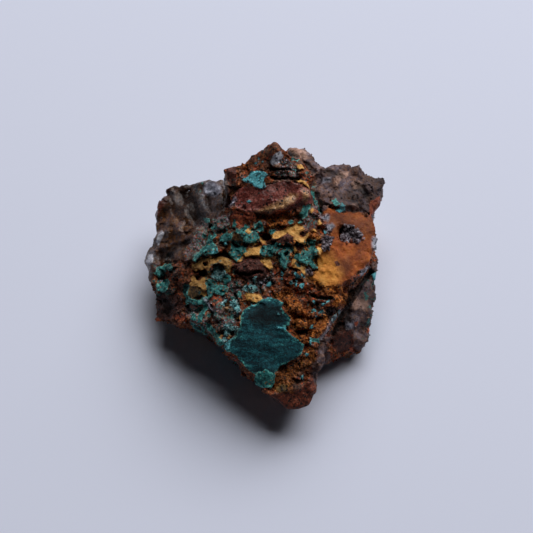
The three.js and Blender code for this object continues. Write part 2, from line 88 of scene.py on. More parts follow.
# ---- minerals ----
# Patches of each mineral, outlined in the camera's 533 x 533 frame (pixels, x right, y down).
PATCHES = {
    "plate": [
        # the large plate of the front slope
        [(266, 299), (272, 298), (279, 300), (284, 303), (282, 307), (285, 312), (289, 317), (291, 321),
         (289, 325), (284, 328), (289, 333), (296, 339), (305, 344), (302, 355), (290, 361), (280, 367),
         (274, 375), (275, 382), (271, 388), (263, 388), (255, 384), (255, 375), (246, 368), (237, 356),
         (226, 351), (225, 344), (234, 337), (239, 327), (241, 315), (243, 309), (250, 306)],
    ],
    "teal": [
        # column at the left, below the ledge
        [(210, 224), (216, 223), (217, 227), (214, 231), (215, 236), (211, 241), (217, 247), (218, 252),
         (213, 254), (208, 253), (206, 249), (204, 252), (199, 256), (196, 261), (193, 260), (195, 255),
         (203, 249), (207, 244), (209, 236), (210, 230)],
        [(203, 233), (207, 233), (206, 236), (203, 236)],
        [(205, 219), (210, 218), (209, 222), (206, 222)],
        # veil and spike to its right
        [(219, 242), (220, 239), (223, 236), (227, 233), (232, 236), (231, 240), (224, 241)],
        [(232, 227), (232, 223), (234, 220), (236, 224), (235, 228)],
        # bow round the tan block
        [(236, 229), (240, 229), (243, 228), (246, 225), (249, 227), (247, 229), (244, 231), (246, 233),
         (250, 236), (252, 231), (253, 229), (256, 231), (260, 237), (257, 240), (254, 242), (248, 243),
         (245, 241), (244, 237), (240, 234), (237, 232)],
        [(254, 223), (257, 224), (259, 220), (263, 221), (264, 226), (263, 230), (259, 232), (255, 229)],
        [(231, 246), (234, 242), (238, 245), (243, 246), (245, 249), (243, 253), (240, 257), (236, 262),
         (232, 258), (229, 253), (231, 250)],
        # hooks right of the pit
        [(262, 247), (266, 245), (271, 244), (277, 243), (281, 246), (278, 250), (273, 253), (271, 257),
         (267, 257), (263, 256), (260, 253)],
        [(281, 246), (286, 243), (291, 245), (292, 250), (289, 254), (288, 259), (287, 265), (285, 269),
         (282, 267), (280, 260), (280, 253), (283, 250)],
        # ragged patch beside the slab
        [(309, 240), (315, 242), (314, 246), (316, 250), (316, 254), (313, 254), (314, 259), (311, 261),
         (317, 268), (313, 268), (308, 264), (305, 263), (308, 260), (304, 258), (303, 262), (299, 260),
         (295, 257), (297, 253), (301, 254), (303, 250), (308, 253), (311, 249), (309, 245)],
        # under the ledge and at its right end
        [(269, 234), (270, 231), (274, 230), (276, 231), (272, 234)],
        [(303, 206), (310, 205), (309, 210), (307, 216), (303, 218), (301, 214)],
        [(288, 223), (291, 221), (293, 222), (291, 225)],
        [(297, 223), (300, 221), (303, 222), (299, 224)],
        # left edge and lower left edge
        [(156, 274), (158, 268), (164, 265), (172, 264), (171, 269), (166, 270), (159, 277)],
        [(157, 286), (162, 283), (168, 278), (171, 281), (168, 287), (164, 291), (158, 290)],
        [(185, 283), (189, 285), (187, 290), (187, 297), (193, 300), (200, 300), (206, 295), (209, 298),
         (204, 303), (196, 304), (187, 303), (184, 292)],
        [(206, 282), (209, 279), (214, 282), (217, 285), (213, 289), (211, 296), (208, 296), (207, 288)],
        [(198, 322), (199, 315), (202, 310), (206, 306), (208, 308), (204, 312), (202, 317), (201, 322)],
        [(191, 314), (195, 315), (195, 319), (192, 319)],
        [(190, 321), (196, 325), (204, 330), (206, 334), (200, 333), (194, 328)],
        [(207, 323), (211, 326), (214, 331), (219, 338), (224, 344), (220, 345), (213, 336), (209, 330)],
        # round the druses
        [(214, 291), (216, 287), (222, 285), (226, 287), (226, 292), (222, 295), (216, 294)],
        [(222, 279), (228, 274), (231, 279), (230, 283), (224, 283)],
        [(238, 290), (241, 293), (241, 298), (238, 295)],
        # green dab on the right hump
        [(332, 201), (336, 198), (339, 203), (336, 206)],
        # tip of the plate, lighter teal painted as the light falling on it
        [(256, 374), (266, 370), (275, 374), (274, 382), (270, 387), (263, 387), (256, 383)],
        # beside the plate
        [(310, 338), (320, 338), (319, 342), (312, 342), (311, 346), (309, 343)],
        [(333, 317), (339, 311), (341, 313), (336, 319), (332, 322)],
    ],
    "turquoise": [
        # patch on the peak and the dab below it
        [(242, 179), (248, 176), (250, 172), (260, 171), (265, 172), (268, 175), (264, 179), (266, 186),
         (263, 189), (255, 187), (252, 183), (246, 182)],
        [(246, 201), (249, 199), (251, 201), (249, 203)],
        # dab on the right hump
        [(336, 211), (339, 207), (341, 202), (344, 205), (345, 210), (343, 212), (338, 212)],
        # bright rims
        [(211, 252), (213, 249), (215, 252), (213, 254)],
        [(216, 251), (217, 248), (219, 252), (217, 253)],
        [(224, 243), (226, 242), (228, 245), (225, 246)],
        [(250, 305), (256, 304), (256, 306), (251, 306)],
        [(264, 300), (268, 297), (272, 297), (272, 299), (267, 300)],
        [(277, 311), (281, 313), (280, 316), (277, 314)],
        [(276, 327), (286, 327), (286, 330), (281, 329), (276, 329)],
        [(225, 344), (229, 340), (233, 338), (230, 344), (228, 350), (225, 349)],
        # chips strewn over the red zone
        [(266, 286), (268, 282), (271, 281), (272, 284), (269, 288)],
        [(280, 274), (281, 270), (283, 271), (284, 274), (282, 276)],
        [(280, 278), (282, 277), (283, 279), (281, 280)],
        [(293, 273), (296, 272), (299, 275), (301, 278), (296, 279), (295, 276)],
        [(301, 274), (303, 273), (305, 277), (303, 278)],
        [(289, 283), (291, 281), (294, 284), (291, 286)],
        [(295, 280), (297, 281), (297, 287), (295, 287)],
        [(299, 287), (302, 283), (305, 282), (305, 285), (302, 288)],
        [(312, 301), (314, 300), (317, 304), (314, 304)],
        [(320, 305), (322, 303), (326, 304), (322, 306)],
        [(326, 302), (329, 300), (329, 302), (327, 303)],
        [(313, 310), (315, 308), (317, 312), (314, 312)],
        [(318, 313), (321, 310), (324, 309), (323, 313), (320, 314)],
        [(315, 317), (316, 315), (318, 317), (316, 318)],
        [(309, 328), (311, 325), (314, 324), (312, 328)],
        [(310, 338), (312, 339), (312, 345), (310, 345)],
        [(305, 354), (309, 354), (308, 357), (305, 357)],
        [(301, 376), (304, 375), (304, 380), (302, 380)],
        # and over the peak and the right side
        [(257, 158), (259, 156), (260, 159), (258, 160)],
        [(261, 160), (263, 159), (263, 162), (261, 162)],
        [(254, 163), (257, 162), (256, 165), (254, 164)],
        [(323, 230), (327, 231), (326, 234), (324, 234)],
        [(372, 272), (376, 272), (376, 281), (373, 280)],
    ],
    "druse": [
        # sparkling crusts of tiny crystals
        [(210, 277), (213, 272), (214, 267), (219, 265), (224, 268), (227, 273), (221, 281), (217, 281),
         (214, 279)],
        [(243, 288), (245, 285), (250, 284), (256, 286), (258, 290), (253, 293), (246, 292)],
        [(252, 279), (255, 277), (258, 282), (255, 284)],
        [(230, 302), (234, 300), (239, 303), (241, 309), (238, 313), (235, 311), (232, 307)],
        [(223, 330), (224, 326), (231, 324), (236, 325), (239, 328), (236, 332), (231, 335), (226, 336)],
        [(221, 340), (224, 338), (229, 338), (227, 342), (223, 343)],
        [(221, 303), (224, 300), (228, 300), (226, 303), (223, 305)],
    ],
    "ochre": [
        # wide crust right of the pit
        [(270, 235), (275, 232), (283, 230), (290, 225), (293, 226), (298, 224), (303, 225), (305, 229),
         (301, 231), (299, 235), (303, 238), (306, 234), (308, 232), (310, 234), (306, 240), (305, 245),
         (301, 243), (296, 241), (294, 240), (293, 236), (288, 233), (282, 237), (277, 239), (272, 238)],
        # strips left of it
        [(257, 237), (261, 237), (263, 240), (267, 243), (264, 244), (260, 242)],
        [(248, 245), (252, 243), (259, 242), (258, 245), (250, 246)],
        [(245, 231), (248, 229), (252, 228), (252, 232), (250, 235), (248, 233)],
        # round the brown knob
        [(243, 254), (246, 250), (250, 248), (257, 246), (262, 245), (262, 249), (260, 255), (257, 256),
         (253, 255), (248, 257), (245, 257)],
        [(236, 262), (240, 257), (244, 256), (241, 261), (237, 263)],
        [(260, 254), (266, 256), (270, 259), (272, 264), (272, 268), (270, 270), (267, 267), (264, 266),
         (262, 261)],
        # slivers between the teal patches and the slab
        [(293, 246), (296, 245), (296, 250), (294, 254), (293, 250)],
        [(292, 258), (298, 257), (298, 260), (295, 264), (291, 265)],
        [(297, 263), (301, 262), (305, 266), (306, 271), (304, 275), (301, 271), (297, 268), (292, 268)],
        [(304, 259), (308, 258), (310, 260), (306, 261)],
        [(312, 214), (310, 211), (313, 208), (314, 213)],
        [(317, 224), (319, 220), (321, 223), (318, 226)],
        [(313, 229), (316, 229), (316, 232), (313, 231)],
        [(318, 246), (321, 248), (322, 253), (319, 257), (317, 252)],
        [(307, 240), (309, 237), (310, 242), (308, 246), (306, 244)],
        # arch of the left edge
        [(191, 270), (192, 265), (197, 261), (203, 257), (212, 256), (219, 256), (226, 257), (231, 260),
         (231, 265), (229, 272), (226, 271), (224, 266), (218, 262), (213, 264), (211, 268), (209, 275),
         (205, 276), (207, 269), (201, 270), (196, 271)],
        # lump under it
        [(190, 278), (193, 274), (196, 277), (198, 281), (202, 278), (205, 276), (208, 279), (208, 286),
         (207, 291), (203, 291), (199, 287), (194, 287), (190, 286), (188, 283), (192, 281)],
        [(200, 295), (203, 292), (207, 292), (205, 296)],
        # chip above the plate
        [(245, 294), (252, 293), (259, 294), (262, 298), (266, 301), (266, 304), (252, 302),
         (247, 300)],
        # yellow rims of the peak block
        [(297, 164), (303, 164), (306, 168), (301, 170), (297, 167)],
        [(295, 180), (300, 179), (307, 182), (310, 188), (303, 183), (297, 182)],
        # spots among the druses
        [(238, 319), (239, 315), (241, 315), (241, 320)],
        [(225, 331), (228, 330), (228, 334), (225, 334)],
        [(227, 337), (230, 335), (231, 338), (228, 339)],
        [(218, 341), (219, 336), (223, 335), (221, 338), (220, 342)],
    ],
    "slab": [
        # the orange slab
        [(315, 250), (319, 246), (326, 250), (331, 244), (330, 238), (333, 228), (323, 222), (320, 216),
         (330, 207), (334, 205), (337, 211), (345, 213), (350, 212), (359, 212), (362, 215), (366, 218),
         (371, 215), (376, 219), (377, 225), (375, 231), (374, 237), (374, 249), (373, 256), (369, 264),
         (360, 271), (352, 277), (343, 286), (335, 286), (326, 288), (321, 283), (309, 277), (318, 271),
         (317, 261)],
    ],
    "gold": [
        # the yellow lower left of the slab
        [(311, 264), (316, 254), (323, 251), (330, 255), (336, 263), (341, 273), (338, 286), (326, 288),
         (309, 277), (318, 270)],
    ],
    "tan": [
        # lower lip of the ledge, its bright tan partly a painted highlight, and its right end
        [(255, 212), (264, 208), (274, 205), (283, 199), (293, 193), (297, 195), (294, 201), (286, 206),
         (277, 210), (267, 212)],
        [(302, 190), (306, 190), (309, 194), (308, 199), (304, 201), (303, 196)],
        # block left of the pit, lumps right of it and under the druses
        [(232, 235), (236, 234), (242, 235), (245, 239), (243, 243), (240, 243), (236, 240)],
        [(271, 257), (275, 254), (279, 255), (280, 259), (277, 261), (273, 260)],
        [(223, 303), (229, 302), (231, 308), (227, 311), (223, 308)],
    ],
    "maroon": [
        # the smooth ledge
        [(231, 202), (234, 196), (238, 189), (247, 186), (256, 189), (269, 184), (285, 181), (300, 184),
         (309, 189), (314, 198), (312, 204), (303, 206), (288, 211), (278, 214), (262, 214), (245, 211),
         (236, 208)],
    ],
    "brick": [
        # snout tip, block of the foot, block under the slab
        [(268, 395), (283, 393), (294, 393), (303, 386), (312, 378), (318, 390), (314, 406), (300, 415),
         (285, 414), (268, 400)],
        [(336, 330), (351, 330), (354, 347), (342, 354), (332, 347)],
        [(349, 276), (362, 276), (357, 282), (351, 280)],
    ],
    "umber": [
        # the brown knob
        [(232, 268), (240, 261), (246, 256), (254, 255), (260, 257), (264, 262), (268, 268), (271, 274),
         (261, 280), (248, 279), (236, 277)],
        # chunks in the ochre
        [(271, 241), (278, 239), (288, 234), (293, 237), (292, 242), (286, 243), (279, 242)],
        [(272, 255), (276, 250), (280, 247), (283, 248), (282, 252), (279, 255), (275, 257)],
        [(294, 246), (299, 243), (304, 244), (304, 249), (300, 251), (296, 250)],
        [(299, 235), (301, 232), (305, 231), (307, 234), (304, 236)],
        # underside of the tan block, darker brown as its painted shade
        [(231, 237), (236, 241), (240, 244), (245, 241), (244, 245), (240, 246), (234, 242)],
        # blotch of the slab
        [(334, 261), (338, 260), (339, 265), (336, 266)],
        # lower left corner and outer edge of the left mass, left shoulder of the peak
        [(154, 296), (164, 290), (178, 296), (184, 306), (176, 312), (166, 322), (156, 318)],
        [(150, 216), (158, 200), (168, 186), (171, 190), (166, 203), (158, 217), (154, 226)],
        [(227, 168), (236, 165), (236, 180), (231, 186), (226, 180)],
    ],
    "rust": [
        # red rock under the ledge
        [(229, 220), (232, 214), (237, 209), (248, 212), (258, 214), (257, 218), (249, 221), (247, 226),
         (243, 229), (237, 229), (231, 225)],
        # specks of the peak, the left and right edges, the ledge's lip and the foot
        [(253, 168), (257, 167), (257, 170), (254, 170)],
        [(286, 174), (291, 174), (291, 177), (287, 177)],
        [(301, 175), (304, 175), (305, 179), (302, 180)],
        [(172, 316), (179, 314), (184, 317), (182, 320), (175, 321)],
        [(372, 201), (380, 195), (382, 206), (377, 212), (370, 217), (369, 210)],
        [(274, 211), (287, 209), (283, 215), (276, 215)],
        [(354, 322), (358, 322), (358, 326), (354, 326)],
        [(367, 328), (371, 328), (371, 333), (367, 332)],
        [(349, 348), (354, 348), (353, 352), (349, 352)],
        # orange-red spots of the red zone and round the druses
        [(283, 277), (287, 275), (288, 278), (284, 279)],
        [(290, 275), (293, 275), (293, 279), (290, 279)],
        [(298, 283), (300, 284), (299, 288), (297, 287)],
        [(305, 287), (308, 289), (310, 293), (307, 293)],
        [(265, 296), (270, 295), (269, 298), (265, 298)],
        [(343, 290), (347, 291), (347, 294), (344, 294)],
        [(225, 327), (226, 325), (228, 327), (226, 329)],
        [(230, 328), (233, 325), (233, 329), (231, 331)],
        [(211, 299), (212, 294), (221, 295), (222, 301), (217, 303), (213, 309), (212, 303)],
    ],
    "orange": [
        # between the slab and the teal patch beside it
        [(290, 240), (300, 234), (312, 230), (320, 238), (322, 256), (314, 268), (304, 276), (292, 268)],
        # striated lump above the right side of the plate
        [(272, 293), (279, 293), (285, 291), (292, 290), (294, 295), (301, 304), (303, 310), (311, 305),
         (313, 312), (306, 319), (309, 328), (299, 330), (292, 327), (291, 319), (285, 311), (283, 306),
         (287, 301), (280, 299), (273, 298)],
        # lumps towards the slab
        [(309, 321), (317, 319), (322, 313), (327, 316), (329, 322), (331, 325), (326, 329), (321, 336),
         (314, 338), (309, 334)],
        [(326, 287), (337, 286), (349, 289), (351, 297), (349, 303), (343, 304), (336, 306), (331, 304),
         (334, 298), (328, 294)],
        [(289, 331), (297, 334), (304, 335), (309, 337), (310, 344), (306, 345), (297, 338)],
        # front slope right of the plate
        [(274, 375), (278, 370), (289, 366), (302, 358), (306, 348), (312, 346), (316, 353), (316, 360),
         (307, 366), (300, 371), (293, 382), (293, 392), (282, 394), (275, 392), (274, 384)],
        # under the ledge
        [(267, 217), (279, 215), (290, 219), (285, 226), (272, 228), (267, 223)],
    ],
    "olive": [
        # shaded undersides of the ochre lump and arch, below the plate's tip
        [(188, 287), (198, 287), (203, 291), (201, 296), (197, 300), (190, 300), (187, 295)],
        [(212, 257), (217, 257), (216, 262), (212, 263)],
        [(275, 388), (281, 384), (288, 386), (288, 392), (279, 393)],
    ],
    "drape": [
        # left mass
        [(140, 262), (150, 240), (150, 205), (165, 180), (195, 176), (226, 176), (230, 190), (226, 205),
         (222, 217), (208, 226), (206, 236), (200, 248), (192, 260), (176, 262), (160, 262), (150, 285)],
    ],
    "mauve": [
        # right hump
        [(310, 190), (318, 168), (340, 160), (360, 160), (390, 175), (385, 200), (374, 212), (360, 214),
         (345, 212), (334, 204), (322, 213), (314, 208)],
        # back hump
        [(284, 145), (303, 144), (316, 155), (325, 170), (313, 175), (308, 170), (303, 161), (293, 160)],
        # lower right foot, and the rock left of it
        [(352, 300), (360, 282), (372, 262), (384, 262), (380, 300), (378, 340), (362, 352), (353, 347),
         (352, 330), (344, 322), (346, 310)],
        [(318, 345), (323, 336), (331, 337), (327, 349), (331, 360), (320, 370), (316, 384), (309, 380),
         (312, 366), (318, 356)],
        # frosted speckles below the ledge and left of the plate
        [(215, 218), (222, 216), (230, 216), (230, 226), (222, 228), (217, 224)],
        [(199, 224), (206, 222), (209, 226), (206, 231), (200, 229)],
        [(216, 302), (223, 306), (228, 312), (232, 316), (228, 322), (218, 322), (213, 314)],
        [(305, 218), (311, 216), (316, 220), (314, 228), (306, 228)],
    ],
    "beige": [
        # blotches of the right and back humps
        [(333, 186), (334, 178), (340, 172), (350, 171), (348, 176), (340, 180), (338, 187)],
        [(351, 183), (355, 179), (361, 182), (361, 189), (354, 189)],
        [(288, 147), (301, 148), (308, 154), (306, 160), (298, 158), (290, 153)],
        [(352, 204), (357, 203), (359, 208), (354, 211)],
        # cream crystals of the foot, speck below the left end of the ledge
        [(347, 299), (356, 296), (360, 304), (356, 312), (349, 308)],
        [(358, 300), (365, 297), (369, 305), (365, 312), (359, 310)],
        [(214, 225), (218, 223), (220, 226), (217, 228)],
    ],
    "sheen_ridge": [
        # slate ridges and pale bulge of the left mass and the shoulder, their light tops partly painted
        # sheen
        [(145, 260), (149, 251), (155, 249), (157, 259), (148, 264)],
        [(170, 190), (172, 189), (178, 203), (180, 214), (178, 214), (175, 204)],
        [(193, 185), (197, 184), (201, 195), (209, 208), (209, 214), (206, 213), (199, 204), (195, 196)],
        [(166, 259), (170, 252), (178, 246), (181, 248), (173, 255), (169, 261)],
        [(221, 176), (226, 174), (228, 186), (226, 195), (223, 188)],
        # lit edges of the right hump, their light colour partly a painted highlight
        [(319, 167), (332, 168), (345, 170), (350, 176), (346, 177), (338, 173), (326, 172)],
        [(362, 176), (372, 180), (383, 184), (384, 192), (374, 196), (366, 190)],
    ],
    "frost": [
        # speckled lilac rock of the peak, below the ledge, round the druses and left of the plate
        [(278, 160), (286, 158), (298, 166), (300, 178), (286, 181), (274, 176)],
        [(213, 219), (222, 215), (231, 214), (231, 222), (226, 230), (219, 233), (214, 228)],
        [(197, 226), (206, 221), (209, 226), (207, 240), (200, 250), (192, 256), (186, 262), (184, 252),
         (192, 240)],
        [(212, 297), (222, 296), (232, 300), (240, 304), (242, 312), (238, 322), (228, 330), (218, 330),
         (212, 320), (208, 308)],
        [(258, 268), (272, 268), (276, 282), (262, 292), (252, 290), (248, 280)],
        [(228, 280), (240, 280), (244, 290), (238, 300), (228, 296)],
        [(300, 214), (312, 210), (318, 218), (316, 228), (306, 230), (300, 224)],
        [(186, 300), (198, 302), (206, 318), (214, 332), (206, 334), (184, 312)],
    ],
    "pale": [
        # bright bulge of the left mass, a painted highlight, and streaks beside the ledge and left of
        # the druses
        [(203, 186), (207, 182), (215, 182), (221, 187), (220, 193), (214, 197), (208, 196), (204, 191)],
        [(228, 207), (231, 202), (236, 197), (237, 199), (233, 205)],
        [(203, 297), (207, 298), (213, 309), (214, 313), (210, 309)],
        # right side
        [(321, 179), (331, 177), (330, 182), (322, 183)],
        [(319, 217), (330, 214), (329, 220), (323, 221)],
        [(326, 225), (332, 223), (335, 226), (331, 231), (327, 232)],
        [(355, 233), (359, 231), (363, 239), (359, 242), (354, 240)],
        [(372, 237), (378, 237), (378, 250), (374, 251), (372, 246)],
        [(362, 270), (368, 266), (370, 270), (364, 278), (360, 275)],
        [(344, 322), (353, 322), (352, 329), (345, 329)],
        # speck under the brown knob
        [(258, 281), (263, 281), (264, 284), (260, 286)],
        # pale rim of the front slope above the dark channel
        [(351, 303), (352, 305), (341, 313), (333, 320), (328, 330), (322, 340), (320, 338), (327, 328),
         (332, 318), (341, 310)],
    ],
    "shard_and_highlight": [
        # clear quartz on the peak
        [(270, 162), (274, 155), (280, 151), (283, 156), (279, 163), (272, 165)],
        # painted highlights: a bright streak and the corner of the left edge
        [(156, 242), (158, 235), (162, 230), (164, 233), (161, 241), (158, 246)],
        [(146, 262), (148, 256), (152, 254), (153, 260), (150, 265)],
    ],
    "quartz": [
        # crystals of the slab's cavity, and beside and under the slab
        [(340, 230), (344, 225), (352, 224), (358, 231), (363, 239), (358, 243), (348, 243), (340, 240)],
        [(319, 240), (325, 238), (331, 237), (331, 244), (327, 250), (321, 247)],
        [(304, 269), (310, 268), (314, 271), (312, 275), (306, 274)],
        # tiny ones at the left and round the ledge
        [(196, 234), (199, 232), (201, 235), (198, 236)],
        [(192, 248), (195, 246), (197, 249), (194, 250)],
        [(226, 219), (229, 218), (229, 221), (227, 221)],
        [(312, 214), (315, 212), (317, 215), (314, 216)],
    ],
    "stain": [
        # patchy teal over the front slope, the left mass and the foot
        [(206, 222), (222, 218), (236, 226), (262, 226), (262, 240), (240, 262), (216, 262), (200, 258)],
        [(200, 284), (212, 262), (232, 264), (240, 282), (262, 286), (262, 302), (244, 306), (238, 326),
         (226, 350), (206, 336), (186, 306), (196, 300)],
        [(290, 240), (306, 236), (318, 240), (320, 262), (306, 274), (294, 264)],
        [(306, 298), (326, 296), (334, 312), (326, 324), (310, 318)],
        [(150, 262), (176, 262), (176, 296), (152, 296)],
        [(360, 286), (376, 266), (380, 280), (376, 330), (366, 346), (358, 330), (366, 310)],
        [(192, 176), (204, 180), (206, 200), (196, 198)],
    ],
    "full": [
        # end of the snout, and the slope above it
        [(262, 392), (300, 384), (316, 376), (322, 394), (308, 410), (288, 412)],
        [(316, 358), (324, 348), (336, 352), (330, 362), (320, 372)],
        # apex of the peak, back hump and the dip beside it
        [(268, 153), (271, 145), (277, 144), (283, 153), (277, 157)],
        [(287, 152), (291, 147), (302, 147), (306, 153), (298, 155)],
        [(310, 164), (322, 166), (334, 165), (332, 174), (318, 176)],
        # shoulder left of the peak, and the rim of the left mass
        [(224, 169), (234, 167), (234, 173), (227, 176)],
        [(156, 200), (166, 186), (170, 190), (160, 212), (156, 236), (153, 236), (154, 214)],
        [(154, 222), (170, 221), (182, 223), (180, 232), (164, 237), (154, 240)],
        [(168, 268), (182, 268), (184, 282), (170, 284)],
        [(145, 260), (152, 258), (157, 272), (158, 290), (152, 288), (149, 274)],
        # left part of the ledge's lip, right of the pit
        [(232, 208), (248, 211), (260, 214), (254, 221), (238, 222), (230, 215)],
        [(271, 242), (280, 238), (290, 235), (293, 241), (284, 244)],
        [(272, 256), (280, 248), (283, 251), (276, 257)],
        # right edge of the foot and of the right hump
        [(364, 334), (369, 334), (368, 342), (362, 346)],
        [(374, 198), (380, 196), (381, 206), (376, 208)],
        # top of the left mass and of the shoulder
        [(172, 182), (206, 181), (206, 184), (174, 186)],
        [(208, 178), (222, 178), (222, 186), (208, 188)],
        # lower lip and right end of the ledge
        [(249, 210), (262, 208), (276, 206), (288, 202), (297, 197), (301, 191), (309, 191), (312, 198),
         (306, 203), (296, 207), (284, 212), (268, 216), (251, 215)],
    ],
    "trim": [
        # top and corner of the right hump, left flank of the peak, right corner of the snout
        [(336, 158), (350, 158), (350, 164), (336, 164)],
        [(382, 170), (396, 170), (396, 206), (382, 206), (384, 188)],
        [(240, 158), (262, 136), (268, 138), (266, 145), (256, 153), (244, 162)],
        [(296, 410), (312, 406), (318, 420), (296, 422)],
    ],
    "calm": [
        # the peak, its left shoulder and the snout tip have clean outlines
        [(238, 170), (244, 160), (256, 152), (266, 142), (274, 136), (282, 142), (292, 152), (302, 160),
         (300, 168), (288, 166), (270, 161), (258, 164), (246, 172)],
        [(222, 162), (240, 158), (240, 172), (234, 186), (222, 182)],
        [(262, 392), (284, 392), (300, 384), (314, 374), (320, 392), (314, 414), (296, 418), (272, 410)],
    ],
    # painted shade: places darkened because they lie in shade
    "dim_shade": [
        # peak, top of the ledge
        [(248, 163), (254, 152), (264, 148), (272, 140), (284, 152), (276, 160), (260, 164)],
        [(268, 184), (284, 180), (300, 183), (304, 188), (290, 188), (272, 190)],
        # lower part of the right hump, middle of the slab, middle of the hump
        [(322, 216), (345, 214), (374, 218), (376, 236), (352, 236), (330, 232)],
        [(338, 258), (350, 256), (354, 268), (344, 276), (338, 270)],
        [(344, 192), (360, 178), (394, 171), (389, 200), (374, 212), (360, 214), (345, 212), (334, 204)],
        # upper left, left of the ledge, left of the plate, lower left
        [(164, 186), (182, 180), (202, 182), (204, 200), (210, 220), (170, 216), (162, 210)],
        [(196, 194), (212, 197), (222, 193), (232, 196), (228, 212), (214, 214), (206, 210), (198, 204)],
        [(218, 320), (238, 320), (240, 338), (226, 346), (212, 336)],
        [(168, 264), (186, 262), (186, 312), (156, 312), (156, 296), (168, 290)],
        # cream crystals of the foot, lower left corner, ochre arch and lump
        [(358, 299), (365, 296), (370, 305), (365, 313), (358, 311)],
        [(154, 296), (166, 290), (178, 296), (178, 312), (166, 322), (156, 318)],
        [(189, 262), (204, 255), (230, 257), (232, 268), (210, 292), (190, 300), (187, 284)],
        # tip of the plate, front slope, foot
        [(260, 376), (270, 376), (270, 384), (260, 384)],
        [(274, 372), (302, 360), (314, 350), (318, 360), (296, 392), (276, 394)],
        [(330, 332), (350, 312), (356, 316), (352, 348), (336, 356)],
    ],
    # cut into the stone, and also darkened with painted shade
    "hollow": [
        # pit, cracks of the peak block
        [(261, 236), (264, 233), (269, 233), (272, 237), (268, 241), (263, 240)],
        [(272, 167), (296, 169), (296, 171), (284, 171), (272, 170)],
        [(269, 175), (277, 177), (300, 178), (300, 180), (277, 180), (270, 178)],
        # under the teal column and the ochre arch
        [(210, 256), (214, 254), (220, 252), (224, 250), (229, 254), (232, 259), (226, 257), (216, 257)],
        [(199, 271), (205, 271), (209, 274), (204, 277), (199, 275)],
        [(195, 276), (199, 277), (199, 280), (196, 280)],
        [(203, 263), (207, 262), (207, 266), (204, 266)],
        [(231, 240), (235, 243), (240, 246), (238, 248), (233, 246)],
        # dark channel between the slab and the foot, and dark spots round the slab
        [(352, 282), (362, 276), (370, 268), (374, 272), (364, 284), (356, 298), (346, 312), (340, 324),
         (333, 336), (329, 334), (334, 322), (344, 306)],
        [(328, 306), (334, 307), (338, 310), (328, 320), (325, 313)],
        [(295, 330), (308, 329), (308, 335), (297, 335)],
        [(310, 294), (334, 298), (330, 301), (316, 299)],
        [(288, 267), (296, 269), (301, 271), (297, 272), (289, 270)],
        [(234, 271), (246, 272), (262, 271), (262, 274), (246, 275), (236, 274)],
        [(284, 253), (287, 251), (289, 254), (286, 257)],
        [(340, 229), (344, 226), (346, 232), (342, 239), (339, 238)],
    ],
    "shadow": [
        # upper half of the plate
        [(248, 312), (254, 309), (266, 304), (279, 305), (284, 313), (286, 319), (280, 324), (262, 326),
         (248, 322)],
        # dark left part of the foot
        [(342, 312), (350, 304), (350, 318), (344, 330), (334, 336), (338, 322)],
        # soft hollows of the left mass and the shoulder
        [(191, 213), (199, 211), (205, 217), (204, 225), (196, 226), (190, 220)],
        [(178, 192), (190, 190), (194, 200), (190, 206), (183, 206)],
        [(186, 201), (193, 199), (199, 209), (198, 217), (190, 217), (185, 210)],
        [(160, 300), (168, 298), (174, 308), (168, 318), (163, 312)],
        [(205, 196), (210, 200), (212, 211), (207, 208)],
        [(230, 183), (236, 184), (238, 192), (232, 193)],
        [(157, 252), (166, 249), (178, 243), (190, 240), (190, 244), (177, 250), (167, 260), (159, 262)],
        [(160, 270), (167, 269), (169, 276), (163, 278)],
        [(182, 262), (190, 263), (190, 268), (183, 270)],
        [(151, 218), (154, 217), (156, 222), (153, 224)],
        # grooves of the right hump, and the dip beside the back hump
        [(324, 168), (336, 170), (344, 176), (342, 180), (332, 176), (324, 173)],
        [(312, 185), (317, 184), (319, 196), (315, 206), (312, 200)],
        [(355, 182), (362, 186), (370, 196), (366, 200), (358, 192)],
        [(303, 160), (310, 164), (317, 172), (312, 174), (305, 167)],
    ],
}

KINDS = list(PATCHES)
SHAPE_KINDS = ("full", "trim", "calm")  # these change the shape only, not the colour

# ---- noise ----
LATTICE = 64
LATTICE_SEED = 11
NOISE_SHIFT = 17.3  # bumps that each seed moves the noise by
CELL_SHIFT = 31.7  # cells that each seed moves the cells by
OCTAVE_GAIN = 0.55  # strength of each octave against the one before it
CONTRAST = 1.5  # brings the mean of the octaves to about -1 to 1
STRAY = 0.4  # cells that a cell's centre strays by at most
CUBE_STEPS = [np.array((step & 1, step >> 1 & 1, step >> 2 & 1)) for step in range(8)]
random = np.random.default_rng(LATTICE_SEED)
LATTICE_VALUES = random.random((LATTICE, LATTICE, LATTICE, 3), dtype=np.float32) * 2 - 1


def smooth_noise(points, size, seed):
    """Value noise, -1 to 1, with bumps about size mm wide."""
    grid = points / size + NOISE_SHIFT * seed
    corner = np.floor(grid).astype(np.int32)
    part = (grid - corner).astype(np.float32)
    part = part * part * (3 - 2 * part)
    total = np.zeros(len(points), np.float32)
    for shift in CUBE_STEPS:
        index = (corner + shift) % LATTICE
        weight = np.where(shift, part, 1 - part).prod(axis=1)
        total += weight * LATTICE_VALUES[index[:, 0], index[:, 1], index[:, 2], seed % 3]
    return total


def fractal(points, size, seed, octaves=3):
    """Octaves of value noise, the largest size mm wide, scaled to about -1 to 1."""
    total = np.zeros(len(points), np.float32)
    weight = 1.0
    reach = 0.0
    for octave in range(octaves):
        total += weight * smooth_noise(points, size / 2**octave, seed + octave)
        reach += weight
        weight *= OCTAVE_GAIN
    return CONTRAST * total / reach


